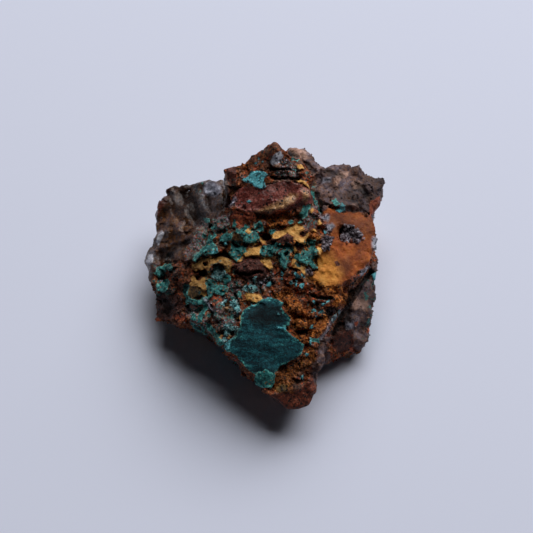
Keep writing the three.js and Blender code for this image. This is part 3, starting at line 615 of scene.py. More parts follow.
def cells(points, size, seed):
    """Distance to the nearest of scattered cell centres (in cells), that cell's random vector and
    the offset from its centre."""
    grid = points / size + CELL_SHIFT * seed
    base = np.floor(grid - 0.5).astype(np.int32)
    nearest = np.full(len(points), 9.0, np.float32)
    vector = np.zeros((len(points), 3), np.float32)
    offset = np.zeros((len(points), 3), np.float32)
    for shift in CUBE_STEPS:
        cell = base + shift
        index = cell % LATTICE
        value = LATTICE_VALUES[index[:, 0], index[:, 1], index[:, 2]]
        away = (grid - cell - 0.5 - STRAY * value).astype(np.float32)
        distance = np.sqrt((away * away).sum(axis=1))
        closer = distance < nearest
        nearest = np.where(closer, distance, nearest)
        vector[closer] = value[closer]
        offset[closer] = away[closer]
    return nearest, vector, offset


def bumps(points, size, seed):
    """Round bumps size mm apart, 0.5 at their middles and below 0 between them."""
    return 0.5 - cells(points, size, seed)[0]


def facets(points, size, seed, lean=(0.0, 0.0, 0.0)):
    """Flat tilted facets about size mm across, heights in mm, which rise along lean on average."""
    _, vector, offset = cells(points, size, seed)
    return size * ((vector + np.array(lean, np.float32)) * offset).sum(axis=1)


def step_up(value, low, high):
    """0 below low, 1 above high, smooth between."""
    part = np.clip((value - low) / (high - low), 0, 1)
    return part * part * (3 - 2 * part)


# ---- where each mineral is ----
def points_near(x, y, outline, reach):
    """Numbers of the points in an outline's bounding box, widened by reach pixels."""
    low_x, low_y = np.min(outline, axis=0) - reach
    high_x, high_y = np.max(outline, axis=0) + reach
    return np.nonzero((x > low_x) & (x < high_x) & (y > low_y) & (y < high_y))[0]


def inside_distance(x, y, outline):
    """Distance in pixels to an outline, positive inside."""
    best = np.full(len(x), 1e9)
    inside = np.zeros(len(x), bool)
    for (x0, y0), (x1, y1) in zip(outline, outline[1:] + outline[:1]):
        edge_x, edge_y = x1 - x0, y1 - y0
        along = ((x - x0) * edge_x + (y - y0) * edge_y) / (edge_x**2 + edge_y**2)
        along = np.clip(along, 0, 1)
        best = np.minimum(best, (x - x0 - along * edge_x) ** 2 + (y - y0 - along * edge_y) ** 2)
        if y0 != y1:
            crosses = ((y0 > y) != (y1 > y)) & (x < (x1 - x0) * (y - y0) / (y1 - y0) + x0)
            inside ^= crosses
    return np.where(inside, 1, -1) * np.sqrt(best)


FIELD_REACH = 6.0  # pixels outside an outline where its field stops falling
LEAN_REACH = 1  # pixels outside an outline where its patch stops leaning


def seen_field(kind, x, y):
    """The largest inside distance, in pixels, over a mineral's patches."""
    field = np.full(len(x), -FIELD_REACH)
    for outline in PATCHES[kind]:
        near = points_near(x, y, outline, FIELD_REACH)
        if len(near):
            field[near] = np.maximum(field[near], inside_distance(x[near], y[near], outline))
    return field


def patch_lean(kind, x, y):
    """How far below the middle of its patch each point is, in pixels, and 0 outside patches."""
    lean = np.zeros(len(x))
    for outline in PATCHES[kind]:
        near = points_near(x, y, outline, LEAN_REACH)
        inside = near[inside_distance(x[near], y[near], outline) > -LEAN_REACH]
        rows = [row for _, row in outline]
        lean[inside] = y[inside] - (min(rows) + max(rows)) / 2
    return lean


# Noise that spreads the minerals on the sides the camera doesn't see: patch size in mm, seed and
# the level above which the noise is that mineral.
HIDDEN_SPREAD = {
    "teal": (5.0, 3, 0.42),
    "turquoise": (2.4, 5, 0.76),
    "druse": (3.2, 6, 0.72),
    "ochre": (5.5, 7, 0.42),
    "slab": (9.0, 9, 0.55),
    "umber": (5.0, 23, 0.4),
    "mauve": (7.0, 25, 0.3),
    "stain": (6.0, 3, 0.1),
    "frost": (4.5, 27, 0.35),
    "rust": (3.0, 15, 0.62),
    "orange": (6.0, 17, 0.35),
    "drape": (8.0, 19, 0.1),
    "pale": (3.0, 21, 0.66),
}
HIDDEN_SCALE = 8.0  # pixels of field per unit of noise

# Pixels that the edges of a mineral's patches wander in and out by, and that they grow by.
RAGGED = {"teal": 1.5, "druse": -1.2, "ochre": -1.1, "plate": 0.7, "orange": 1.5, "slab": 0.8,
          "mauve": -1.5, "drape": 1.0, "rust": 1.0, "umber": 1.0, "shadow": 1.0}
GROWN = {"teal": 0.6}
WARP = 0.9  # pixels that every outline is bent by
EDGE_SIZE = 0.9  # mm, of the noise that bends and frays the outlines


def fields(points, seen):
    """For each mineral, the inside distance in pixels at each point."""
    x, y, _ = to_pixels(points)
    x = x + WARP * fractal(points, EDGE_SIZE, 41, 2)
    y = y + WARP * fractal(points, EDGE_SIZE, 43, 2)
    ragged = fractal(points, EDGE_SIZE, 45)
    back = np.nonzero(seen < 1)[0]
    front = np.nonzero(seen > 0)[0]
    result = {}
    for kind in KINDS:
        field = np.full(len(points), -FIELD_REACH, np.float32)
        field[front] = seen_field(kind, x[front], y[front])
        if kind in HIDDEN_SPREAD:
            size, seed, level = HIDDEN_SPREAD[kind]
            hidden = HIDDEN_SCALE * (fractal(points[back], size, seed) - level)
            field[back] = seen[back] * field[back] + (1 - seen[back]) * hidden
        result[kind] = field + RAGGED.get(kind, 0) * ragged + GROWN.get(kind, 0)
    return result


# ---- the signed-distance grid ----
VOXEL = 0.18
BAND = 1.3  # mm each side of the skin that can be reshaped
MARGIN = 8  # voxels round the stone


def mesh_array(items, name, width):
    """One property of a mesh's vertices or triangles, as an array with width columns."""
    values = np.empty(len(items) * width, np.int32 if name == "vertices" else np.float32)
    items.foreach_get(name, values)
    return values.reshape(-1, width)


def distance_grid():
    """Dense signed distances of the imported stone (mm, negative inside) and its first voxel."""
    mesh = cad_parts["rock"].data
    points = mesh_array(mesh.vertices, "co", 3) / MM
    mesh.calc_loop_triangles()
    triangles = mesh_array(mesh.loop_triangles, "vertices", 3)
    transform = openvdb.createLinearTransform(voxelSize=VOXEL)
    level_set = openvdb.FloatGrid.createLevelSetFromPolygons(
        points, triangles=triangles, transform=transform, halfWidth=BAND / VOXEL + 1
    )
    first = np.floor(points.min(axis=0) / VOXEL).astype(int) - MARGIN
    last = np.ceil(points.max(axis=0) / VOXEL).astype(int) + MARGIN
    distances = np.empty(last - first, np.float32)
    level_set.copyToArray(distances, ijk=tuple(int(i) for i in first))
    return distances, first


# A height buffer tells how near the camera the foremost stone is.
BUFFER_SCALE = 1.5  # buffer cells per pixel
BUFFER_SIZE = int(FRAME_PIXELS * BUFFER_SCALE) + 2
BUFFER_DROP = 0.3  # mm that a height drops as it spreads to the cells beside it
NO_FRONT = -1000.0  # height where the camera sees no stone
OPEN_AIR = 500.0  # mm above the front, only where there is no stone
SEEN_DEPTHS = (-2.4, -1.1)  # mm above the front: hidden below the first, seen above the second
BESIDE_DEPTHS = (1.6, 2.6)  # mm above the front: on it below the first, beside it above the second


def buffer_place(points):
    """Row and column of each point in the height buffer, and its height towards the camera."""
    x, y, height = to_pixels(points)
    column = np.clip((x * BUFFER_SCALE).astype(int), 0, BUFFER_SIZE - 1)
    row = np.clip((y * BUFFER_SCALE).astype(int), 0, BUFFER_SIZE - 1)
    return row, column, height


def front_heights(points):
    """The height buffer: the foremost point in each cell, spread a little to the cells beside it."""
    row, column, height = buffer_place(points)
    heights = np.full((BUFFER_SIZE, BUFFER_SIZE), NO_FRONT)
    np.maximum.at(heights, (row, column), height)
    spread = heights.copy()
    for rows in (-1, 0, 1):
        for columns in (-1, 0, 1):
            spread = np.maximum(spread, np.roll(heights, (rows, columns), (0, 1)) - BUFFER_DROP)
    return spread


def above_front(points, heights):
    """How far each point is in front of the foremost surface at its pixel, in mm."""
    row, column, height = buffer_place(points)
    return height - heights[row, column]


def seen_part(points, heights):
    """1 where the camera sees the point, falling to 0 a little way behind the front."""
    return step_up(above_front(points, heights), *SEEN_DEPTHS)


# The relief's noises: size in mm, seed, and the octaves or how facets lean on average.
TREAD = (-0.15, -0.5, 0.1)  # broken blocks lie like steps, their tops turned up and back
SWELL = (4.0, 51, 2)
BLOCKS = (1.9, 53, TREAD)
CHIPS = (0.8, 55, TREAD)
GRIT = (0.42, 57)
CRACKS = (2.0, 59, 2)
FOLDS = (2.6, 61, 2)
FOLD_SIDES = (2.6, 63)
LUMPS = (2.4, 65)
LUMP_SIDES = (1.6, 67)
FINE_WAVES = (1.2, 69)
ROCK_SIDES = (1.5, 71)
PITS = (1.0, 73)
STREAKS = (0.8, 75, 2)
PALE_SIDES = (1.3, 77)
ALONG_FOLDS = (1.0, 0.45, 0.6)  # an axis below 1 is the one that the noise is stretched along
ALONG_STREAKS = (0.35, 1.0, 1.0)

CRACK_WIDTH = 0.1  # of the noise, each side of its middle
PIT_RADIUS = 0.28  # of a cell
# What stands above the rock, and what is cut into it, in mm; the whole skin lies a little deeper.
RISE = {"sheen_ridge": 0.14, "teal": 0.14, "ochre": 0.12, "plate": 0.2, "turquoise": 0.14,
        "druse": 0.1, "pale": 0.12, "full": 0.7, "beige": 0.25}
CUT = {"crack": 0.32, "pit": 0.22, "groove": 0.13, "trim": 0.5, "hollow": 1.1, "shadow": 0.55,
       "skin": 0.05}
LEAN = 0.3  # mm that a patch rises per mm below its middle
GOLD_LEAN = 0.2  # of that, for the slab's yellow lower left


def relief(points, heights):
    """How far the skin moves outwards, in mm, at points near it."""
    above = above_front(points, heights)
    seen = step_up(above, *SEEN_DEPTHS)
    # beside an edge, high over a surface behind it, that surface's patches don't count
    beside = step_up(above, *BESIDE_DEPTHS) * (above < OPEN_AIR)
    field = fields(points, seen)
    x, y, _ = to_pixels(points)

    def amount(kind, soft=0.8):
        """0 outside a mineral's patches, 1 inside, over soft pixels each side of their edges."""
        return step_up(field[kind], -soft, soft)

    plate = amount("plate")
    teal = amount("teal") * (1 - plate)
    ochre = amount("ochre", 0.5)
    slab = np.maximum(amount("slab"), amount("tan"))
    rock = np.maximum.reduce([amount(kind) for kind in ("maroon", "brick", "umber", "rust", "olive")])
    turquoise = amount("turquoise", 0.5)
    smooth = np.maximum.reduce([plate, ochre, slab, rock, turquoise])
    drape = amount("drape", 2) * (1 - smooth) * (1 - teal)
    hump = amount("mauve", 2)
    mauve = hump * (1 - smooth) * (1 - teal) * (1 - beside)
    pale = np.maximum(amount("pale"), amount("shard_and_highlight"))

    # broken surface: tilted blocks, chips, grit and cracks
    move = 0.32 * fractal(points, *SWELL) * (1 - 0.5 * smooth)
    blocks = facets(points, *BLOCKS)
    chips = facets(points, *CHIPS)
    grit = bumps(points, *GRIT)
    cracks = step_up(CRACK_WIDTH - np.abs(fractal(points, *CRACKS)), 0, CRACK_WIDTH)
    rough = (1 - smooth) * (1 - drape) * (1 - mauve) * (1 - teal) * (1 - pale)
    calm = (0.55 + 0.45 * seen) * (1 - 0.7 * amount("calm", 3))
    calm = calm * (1 - 0.75 * ochre - 0.35 * teal)
    move += rough * calm * (0.42 * blocks + 0.27 * chips + 0.16 * grit - CUT["crack"] * cracks)
    # folds run down the left mass, and the humps are softly lumpy
    folds = fractal(points * ALONG_FOLDS, *FOLDS)
    move += drape * (0.26 * folds + 0.1 * facets(points, *FOLD_SIDES) + 0.05 * grit)
    move += RISE["sheen_ridge"] * amount("sheen_ridge", 3)
    lumps = bumps(points, *LUMPS)
    move += mauve * (lumps + 0.14 * facets(points, *LUMP_SIDES) + 0.1 * grit)
    # smooth faces, some with fine pits
    fine_waves = fractal(points, *FINE_WAVES)
    even = np.maximum(amount("maroon"), amount("brick"))
    angular = facets(points, *ROCK_SIDES) * (1 - 0.7 * even)
    move += rock * (0.07 * fine_waves + 0.2 * angular + 0.12 * grit * amount("umber"))
    move += slab * 0.05 * fine_waves
    pits = step_up(PIT_RADIUS - cells(points, *PITS)[0], 0, 0.1)
    move -= CUT["pit"] * np.maximum(ochre, 0.5 * slab) * pits
    # crusts stand proud, with a groove round them, and rise towards their lower ends
    crusts = np.maximum(field["teal"], field["ochre"])
    groove = step_up(crusts, -2.4, -1.1) * (1 - step_up(crusts, -1.1, -0.2))
    move -= CUT["groove"] * groove * rough
    move += teal * (RISE["teal"] + 0.2 * blocks + 0.12 * chips + 0.08 * grit)
    move += ochre * (RISE["ochre"] + 0.08 * blocks + 0.05 * fine_waves)
    lean = ochre * patch_lean("ochre", x, y) + teal * patch_lean("teal", x, y)
    lean += GOLD_LEAN * amount("gold", 6) * patch_lean("gold", x, y)
    move += seen * LEAN * lean / PIXELS_PER_MM
    streaks = fractal(points * ALONG_STREAKS, *STREAKS)
    move += plate * (RISE["plate"] + 0.05 * streaks + 0.05 * grit)
    move += turquoise * (RISE["turquoise"] + 0.06 * grit) + RISE["druse"] * amount("druse") * (1 + grit)
    move += pale * (RISE["pale"] + 0.25 * facets(points, *PALE_SIDES))
    # fuller and leaner places
    move += RISE["full"] * amount("full", 5) * (1 - beside * hump) - CUT["trim"] * amount("trim", 3)
    move += RISE["beige"] * amount("beige", 3) * (1 - beside)
    move -= CUT["hollow"] * amount("hollow", 1.0) + CUT["shadow"] * amount("shadow", 2.5) * (1 - plate)
    return move - CUT["skin"]


CHUNK = 60000
WORKERS = 4


def in_chunks(function, points):
    """The function's results over the points, worked out in chunks on several cores."""
    parts = [points[start : start + CHUNK] for start in range(0, len(points), CHUNK)]
    with ThreadPoolExecutor(WORKERS) as pool:
        return np.concatenate(list(pool.map(function, parts)))


def reshaped_grid():
    """The stone's grid with its relief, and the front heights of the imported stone."""
    distances, first = distance_grid()
    inside = np.argwhere((distances < 0) & (distances > -2 * VOXEL))
    heights = front_heights((inside + first) * VOXEL)
    near = np.nonzero(np.abs(distances) < BAND)
    points = (np.stack(near, axis=1) + first) * VOXEL
    distances[near] -= in_chunks(lambda part: relief(part, heights), points)
    height = (np.arange(distances.shape[2]) + first[2]) * VOXEL
    distances = np.maximum(distances, -height)
    return distances, first, heights


def grid_surface(distances, first):
    """Vertices in mm and quads of the grid's zero surface."""
    grid = openvdb.FloatGrid(BAND)
    grid.copyFromArray(distances, ijk=tuple(int(i) for i in first))
    grid.transform = openvdb.createLinearTransform(voxelSize=VOXEL)
    points, quads = grid.convertToQuads(isovalue=0.0)
    return points, quads


def largest_part(points, quads):
    """Only the vertices and quads of the largest connected part."""
    label = np.arange(len(points))
    edges = np.concatenate([quads[:, [0, 1]], quads[:, [1, 2]], quads[:, [2, 3]]])
    while True:
        low = np.minimum(label[edges[:, 0]], label[edges[:, 1]])
        before = label.copy()
        np.minimum.at(label, edges[:, 0], low)
        np.minimum.at(label, edges[:, 1], low)
        label = label[label]
        if (label == before).all():
            break
    values, counts = np.unique(label, return_counts=True)
    keep = label == values[counts.argmax()]
    number = np.cumsum(keep) - 1
    faces = quads[keep[quads[:, 0]]]
    return points[keep], number[faces]


NEAR_OPENING = 0.45  # mm above the skin
FAR_OPENING = 1.1


def openness(points, normals, distances, first, reach):
    """How open the stone is reach mm above each point: 1 on flat ground, less in a crevice."""
    place = (points + reach * normals) / VOXEL - first
    limit = np.array(distances.shape) - 2
    corner = np.clip(np.floor(place).astype(int), 0, limit)
    part = np.clip(place - corner, 0, 1)
    total = np.zeros(len(points))
    for shift in CUBE_STEPS:
        index = corner + shift
        weight = np.where(shift, part, 1 - part).prod(axis=1)
        total += weight * distances[index[:, 0], index[:, 1], index[:, 2]]
    return total / reach


# ---- meshes ----
FACE_LIMIT = 196000
DETAIL_LEVELS = 5  # from the hidden sides, which are thinned most, to the seen side
LEVEL_STEP = 0.2  # less thinning from level to level
GROUP_FACTOR = 0.01  # how strongly the levels count
BOX_SPARE = 0.02  # of each side that the relief may stand out of the CAD box


def new_object(name, points, faces):
    """A mesh object in the scene."""
    mesh = bpy.data.meshes.new(name)
    mesh.from_pydata(points, [], faces)
    piece = bpy.data.objects.new(name, mesh)
    bpy.context.scene.collection.objects.link(piece)
    return piece


def stone_object(heights, points, quads):
    """The stone as a Blender object, thinned to the face limit with its seen side favoured."""
    stone = new_object("stone", points.tolist(), quads.tolist())
    if 2 * len(quads) > FACE_LIMIT:
        levels = np.round(seen_part(points, heights) * (DETAIL_LEVELS - 1))
        group = stone.vertex_groups.new(name="thin")
        for level in range(DETAIL_LEVELS):
            chosen = np.nonzero(levels == level)[0]
            group.add(chosen.tolist(), 1 - LEVEL_STEP * level, "REPLACE")
        thin = stone.modifiers.new("thin", "DECIMATE")
        thin.ratio = FACE_LIMIT / (2 * len(quads))
        thin.vertex_group = group.name
        thin.vertex_group_factor = GROUP_FACTOR
        shown = stone.evaluated_get(bpy.context.evaluated_depsgraph_get())
        thinned = bpy.data.meshes.new_from_object(shown)
        stone.modifiers.clear()
        stone.vertex_groups.clear()
        stone.data = thinned
    return stone


def in_box(points):
    """Points in mm, kept in the CAD box with its spare and above the ground."""
    low, high = np.array(CAD_BOX) / MM
    spare = BOX_SPARE * (high - low)
    points = np.clip(points, low - spare, high + spare)
    points[:, 2] = np.maximum(points[:, 2], 0)
    return points


def field_table(points, heights):
    """Every mineral's field at each point, one column each."""

    def stacked(part):
        found = fields(part, seen_part(part, heights))
        return np.stack([found[kind] for kind in KINDS], axis=1)

    return in_chunks(stacked, points)


def add_attributes(mesh, table, open_value, tint):
    """Gives a mesh what its material reads: the minerals' fields, openness and tint."""
    named = {kind: table[:, number] for number, kind in enumerate(KINDS) if kind not in SHAPE_KINDS}
    named["open"] = open_value
    named["tint"] = tint
    for name, values in named.items():
        attribute = mesh.attributes.new(name, "FLOAT", "POINT")
        attribute.data.foreach_set("value", np.ascontiguousarray(values, np.float32))


def fit_stone(stone, distances, first, heights):
    """Keeps the stone in the CAD box, gives it its minerals' fields and turns it to metres; returns
    its surface in mm."""
    mesh = stone.data
    points = in_box(mesh_array(mesh.vertices, "co", 3))
    mesh.vertices.foreach_set("co", points.ravel())
    normals = mesh_array(mesh.vertex_normals, "vector", 3)
    table = field_table(points, heights)
    near = openness(points, normals, distances, first, NEAR_OPENING)
    far = openness(points, normals, distances, first, FAR_OPENING)
    open_value = 0.5 * near + 0.5 * far
    add_attributes(mesh, table, open_value, np.full(len(points), 0.5))
    mesh.calc_loop_triangles()
    triangles = mesh_array(mesh.loop_triangles, "vertices", 3)
    mesh.vertices.foreach_set("co", (points * MM).astype(np.float32).ravel())
    mesh.update()
    return {"points": points, "normals": normals, "table": table, "triangles": triangles,
            "open": open_value}


def field_over(surface, kind):
    """A mineral's field over a surface's vertices."""
    return surface["table"][:, KINDS.index(kind)]


def scatter(surface, weight, count, seed):
    """Random places on the stone, denser where the vertex weight is high: points, normals and
    the vertex each is nearest."""
    chance = np.random.default_rng(seed)
    corners = surface["points"][surface["triangles"]]
    cross = np.cross(corners[:, 1] - corners[:, 0], corners[:, 2] - corners[:, 0])
    area = np.sqrt((cross * cross).sum(axis=1))
    share = area * weight[surface["triangles"]].mean(axis=1)
    total = np.cumsum(share)
    chosen = np.searchsorted(total, chance.random(count) * total[-1])
    mix = chance.dirichlet((1.0, 1.0, 1.0), count)
    points = (corners[chosen] * mix[:, :, None]).sum(axis=1)
    vertices = surface["triangles"][chosen, mix.argmax(axis=1)]
    return points, surface["normals"][vertices], vertices


def unit(vectors):
    """The vectors at length 1."""
    return vectors / np.maximum(np.sqrt((vectors * vectors).sum(axis=-1, keepdims=True)), 1e-9)


def turns(chance, count):
    """Random rotation matrices."""
    first_axis = unit(chance.normal(size=(count, 3)))
    second_axis = unit(np.cross(first_axis, chance.normal(size=(count, 3))))
    return np.stack([first_axis, second_axis, np.cross(first_axis, second_axis)], axis=2)


def joined(name, shapes, faces, surface, vertices, tints):
    """One mesh object of many small closed shapes (count, corners, 3), each coloured as the
    stone's vertex that it sits on."""
    count, corners, _ = shapes.shape
    points = in_box(shapes.reshape(-1, 3)) * MM
    starts = (np.arange(count) * corners)[:, None]
    all_faces = []
    for face in faces:
        all_faces += (starts + np.array(face)).tolist()
    piece = new_object(name, points.tolist(), all_faces)
    table = np.repeat(surface["table"][vertices], corners, axis=0)
    # the crumbs take the painted crevice shade of the stone beneath them, a little lighter
    open_value = np.repeat(0.3 + 0.7 * surface["open"][vertices], corners)
    add_attributes(piece.data, table, open_value, np.repeat(tints, corners))
    return piece


GRANULE_COUNT = 13000
GRANULE_PLACES = 71  # seed
GRANULE_SHAPES = 73  # seed
SMALLEST_GRANULE = 0.05  # mm
GRANULE_RANGE = 0.14  # mm
SMALL_SHARE = 2.5  # the higher, the more of them are small
CROOKED = 0.25  # how far their corners stray, for sides of 1.2
NO_GRANULES = ("maroon", "brick", "tan", "slab", "ochre", "plate", "rust", "olive", "drape", "pale",
               "shard_and_highlight", "turquoise")


def crumb_shape():
    """Corners and faces of a cube with sides of 1.2."""
    corners = [(x, y, z) for x in (-0.6, 0.6) for y in (-0.6, 0.6) for z in (-0.6, 0.6)]
    faces = [(0, 1, 3, 2), (4, 6, 7, 5), (0, 4, 5, 1), (2, 3, 7, 6), (0, 2, 6, 4), (1, 5, 7, 3)]
    return np.array(corners), faces


def granules(surface, heights):
    """Angular crumbs of ore lying on the rough parts of the stone."""
    smooth = np.maximum.reduce([field_over(surface, kind) for kind in NO_GRANULES])
    bare = 1 - step_up(smooth, -1.5, 0.5)
    bare *= 1 - 0.8 * step_up(field_over(surface, "teal"), -1, 1)
    bare *= 1 - 0.8 * step_up(field_over(surface, "mauve"), -1, 1)
    bare *= 1 + step_up(field_over(surface, "orange"), -1, 1)
    bare *= 1 - step_up(field_over(surface, "calm"), -3, 1)
    seen = seen_part(surface["points"], heights)
    weight = bare * (0.35 + 0.65 * seen) * step_up(surface["points"][:, 2], 0.2, 1)
    points, normals, vertices = scatter(surface, weight, GRANULE_COUNT, GRANULE_PLACES)
    chance = np.random.default_rng(GRANULE_SHAPES)
    corners, faces = crumb_shape()
    size = SMALLEST_GRANULE + GRANULE_RANGE * chance.random(GRANULE_COUNT) ** SMALL_SHARE
    stretch = size[:, None] * (0.6 + 0.8 * chance.random((GRANULE_COUNT, 3)))
    shapes = corners[None] + CROOKED * chance.normal(size=(GRANULE_COUNT, len(corners), 3))
    shapes = np.einsum("nij,nkj->nki", turns(chance, GRANULE_COUNT), shapes * stretch[:, None])
    shapes += (points + normals * (0.3 * size)[:, None])[:, None]
    return joined("granules", shapes, faces, surface, vertices, chance.random(GRANULE_COUNT))


# Crystals of a kind: how many, shortest and longest in mm, width for their length, and seed.
CRYSTALS = {"druse": (2600, 0.16, 0.42, 0.22, 81), "quartz": (260, 0.35, 0.9, 0.34, 91)}


def hexagonal_crystal():
    """A six-sided prism along z with a pointed end, from -0.4 to 1: corners and faces."""
    ring = [(math.cos(turn), math.sin(turn)) for turn in np.arange(6) * math.pi / 3]
    corners = [(x, y, -0.4) for x, y in ring] + [(x, y, 0.6) for x, y in ring] + [(0, 0, 1)]
    faces = [(i, (i + 1) % 6, 6 + (i + 1) % 6, 6 + i) for i in range(6)]
    faces += [(6 + i, 6 + (i + 1) % 6, 12) for i in range(6)]
    faces.append(tuple(range(5, -1, -1)))
    return np.array(corners), faces


def crystals(kind, surface):
    """Small pointed crystals standing roughly along the stone's normals."""
    count, shortest, longest, slimness, seed = CRYSTALS[kind]
    weight = step_up(field_over(surface, kind), -0.5, 1)
    points, normals, vertices = scatter(surface, weight, count, seed)
    chance = np.random.default_rng(seed + 1)
    corners, faces = hexagonal_crystal()
    upward = unit(normals + 0.55 * chance.normal(size=(count, 3)))
    side = unit(np.cross(upward, chance.normal(size=(count, 3))))
    axes = np.stack([side, np.cross(upward, side), upward], axis=2)
    length = shortest + (longest - shortest) * chance.random(count) ** 2
    width = length * slimness * (0.7 + 0.6 * chance.random(count))
    scale = np.stack([width, width, length], axis=1)
    shapes = np.einsum("nij,nkj->nki", axes, corners[None] * scale[:, None])
    shapes += points[:, None]
    return joined(kind, shapes, faces, surface, vertices, chance.random(count))


# ---- material ----
class Nodes:
    """Short ways to add nodes to a material."""

    def __init__(self, name):
        self.material = bpy.data.materials.new(name)
        self.material.use_nodes = True
        self.tree = self.material.node_tree
        self.shader = self.tree.nodes["Principled BSDF"]
        self.place = self.add("ShaderNodeTexCoord").outputs["Object"]

    def add(self, kind, **values):
        """A node with the given settings."""
        node = self.tree.nodes.new(kind)
        for name, value in values.items():
            setattr(node, name, value)
        return node

    def join(self, socket, value):
        """Links an output to a socket, or sets the socket's own value."""
        if isinstance(value, bpy.types.NodeSocket):
            self.tree.links.new(value, socket)
        else:
            socket.default_value = value

    def fill(self, node, **values):
        """Joins a value to each named input of a node."""
        for name, value in values.items():
            self.join(node.inputs[name], value)

    def math(self, operation, first, second=0.0, third=0.0):
        """The result of one operation on outputs or numbers."""
        node = self.add("ShaderNodeMath", operation=operation)
        for socket, value in zip(node.inputs, (first, second, third)):
            self.join(socket, value)
        return node.outputs[0]

    def step(self, value, low, high):
        """0 below low, 1 above high."""
        node = self.add("ShaderNodeMapRange", interpolation_type="SMOOTHSTEP")
        for name, number in (("Value", value), ("From Min", low), ("From Max", high)):
            self.join(node.inputs[name], number)
        return node.outputs[0]

    def noise(self, size, seed, detail=3.0, rough=0.6, squeeze=None):
        """Noise about 0 to 1 with bumps size mm wide, longer along axes with squeeze below 1."""
        node = self.add("ShaderNodeTexNoise", noise_dimensions="4D")
        place = self.place
        if squeeze:
            scaled = self.add("ShaderNodeVectorMath", operation="MULTIPLY")
            self.join(scaled.inputs[0], place)
            scaled.inputs[1].default_value = squeeze
            place = scaled.outputs[0]
        scale = 1 / (size * MM)
        self.fill(node, Vector=place, W=seed, Scale=scale, Detail=detail, Roughness=rough)
        return node.outputs["Fac"]

    def cell(self, size, seed, output="Distance"):
        """Voronoi cells size mm wide."""
        node = self.add("ShaderNodeTexVoronoi", voronoi_dimensions="4D")
        self.fill(node, Vector=self.place, W=seed, Scale=1 / (size * MM))
        return node.outputs[output]

    def cell_values(self, size, seed):
        """Three random values, 0 to 1, in each Voronoi cell."""
        split = self.add("ShaderNodeSeparateColor")
        self.join(split.inputs[0], self.cell(size, seed, "Color"))
        return split.outputs

    def attribute(self, name):
        """A value stored at the mesh's vertices."""
        return self.add("ShaderNodeAttribute", attribute_name=name).outputs["Fac"]

    def ramp(self, value, *stops):
        """Colours along a value, as (place, colour) pairs."""
        node = self.add("ShaderNodeValToRGB")
        elements = node.color_ramp.elements
        for _ in stops[2:]:
            elements.new(0.5)
        for element, (place, colour) in zip(elements, stops):
            element.position = place
            element.color = linear(colour)
        self.join(node.inputs[0], value)
        return node.outputs[0]

    def mix(self, amount, below, above, blend="MIX"):
        """The below colour where the amount is 0, changed to above where it is 1."""
        node = self.add("ShaderNodeMix", data_type="RGBA", blend_type=blend)
        self.join(node.inputs[0], amount)
        for socket, value in zip(node.inputs[6:8], (below, above)):
            if not isinstance(value, bpy.types.NodeSocket):
                value = linear(value)
            self.join(socket, value)
        return node.outputs[2]


def linear(colour):
    """Linear RGBA of an sRGB hex colour such as 0x2d5558."""
    parts = [(colour >> shift & 255) / 255 for shift in (16, 8, 0)]
    return [((part + 0.055) / 1.055) ** 2.4 if part > 0.04 else part / 12.92 for part in parts] + [1.0]


# Colours of each mineral from its dark to its bright grains, with how ragged (pixels) and how
# soft the edge of its patches is.  Later ones lie over earlier ones.
LAYERS = (
    ("drape", 4, 2.0, (0x0C080A, 0x1E1317, 0x3A262C, 0x8A6C76)),
    # raised ridges whose light colours are partly painted sheen
    ("sheen_ridge", 8, 3.0, (0x181A20, 0x2E343C, 0x545E6A, 0xA0ACBC)),
    ("mauve", 4, 1.5, (0x131019, 0x322C37, 0x5A505D, 0x9E9AAC)),
    ("beige", 4, 1.5, (0x54403A, 0x8C6E64, 0xB8968C, 0xD4B8AE)),
    ("frost", 5, 2.0, (0x181318, 0x41333B, 0x6E616A, 0xB0A8B4)),
    ("orange", 4, 1.0, (0x3E1A0C, 0x84421A, 0xB86A2C, 0xD49248)),
    # olive is the painted shade on the undersides of the ochre
    ("olive", 3, 1.0, (0x3A2C18, 0x5C4828, 0x6E5630, 0x8A6C3C)),
    ("slab", 4, 0.8, (0x4C1A08, 0x78300C, 0x9C4816, 0xC06C28)),
    ("gold", 12, 9.0, (0xB46624, 0xDA8C38, 0xF0AA50, 0xFCCC84)),
    ("maroon", 4, 0.8, (0x3A1713, 0x662E28, 0x8A4C43, 0xB88379)),
    ("brick", 4, 0.8, (0x30120A, 0x522213, 0x703420, 0xA06850)),
    ("umber", 4, 0.8, (0x28120D, 0x48221A, 0x66362B, 0x8C6456)),
    # the tan of the ledge's lip is partly a painted highlight
    ("tan", 6, 3.0, (0x845E3C, 0xA27850, 0xB48A60, 0xC4A278)),
    ("ochre", 3, 0.5, (0x7E4E22, 0xC28B44, 0xE4AE62, 0xF2C88C)),
    ("rust", 4, 0.8, (0x6C2C1C, 0x96432C, 0xB45E3C, 0xD08A5A)),
    ("plate", 2, 0.4, (0x081214, 0x10323A, 0x1B525A, 0x46928E)),
    ("teal", 3, 0.4, (0x08282C, 0x184E50, 0x327E7A, 0x84D6CA)),
    ("turquoise", 3, 0.4, (0x2A6A72, 0x4C9DA8, 0x6AB8C0, 0x9CD8DC)),
    ("druse", 3, 0.6, (0x3A7880, 0x80C8CC, 0xBCEAEC, 0xF0FFFF)),
    # partly a painted highlight on the bulge of the left mass
    ("pale", 4, 2.0, (0x504C58, 0x7A7884, 0x9C9EAC, 0xC4C8D6)),
    # partly painted highlights on the left edge
    ("shard_and_highlight", 2, 0.8, (0x78767E, 0xACAAB4, 0xD0D0D8, 0xF0F0F6)),
    ("quartz", 3, 0.8, (0x2A2226, 0x52464C, 0x867C84, 0xC0BCC8)),
)
SOFT_KINDS = ("drape", "sheen_ridge", "mauve", "beige", "slab", "gold", "maroon", "pale")
GRAIN_LEVELS = (0.33, 0.46, 0.57, 0.7)  # of the fine noise, where each mineral's colours lie
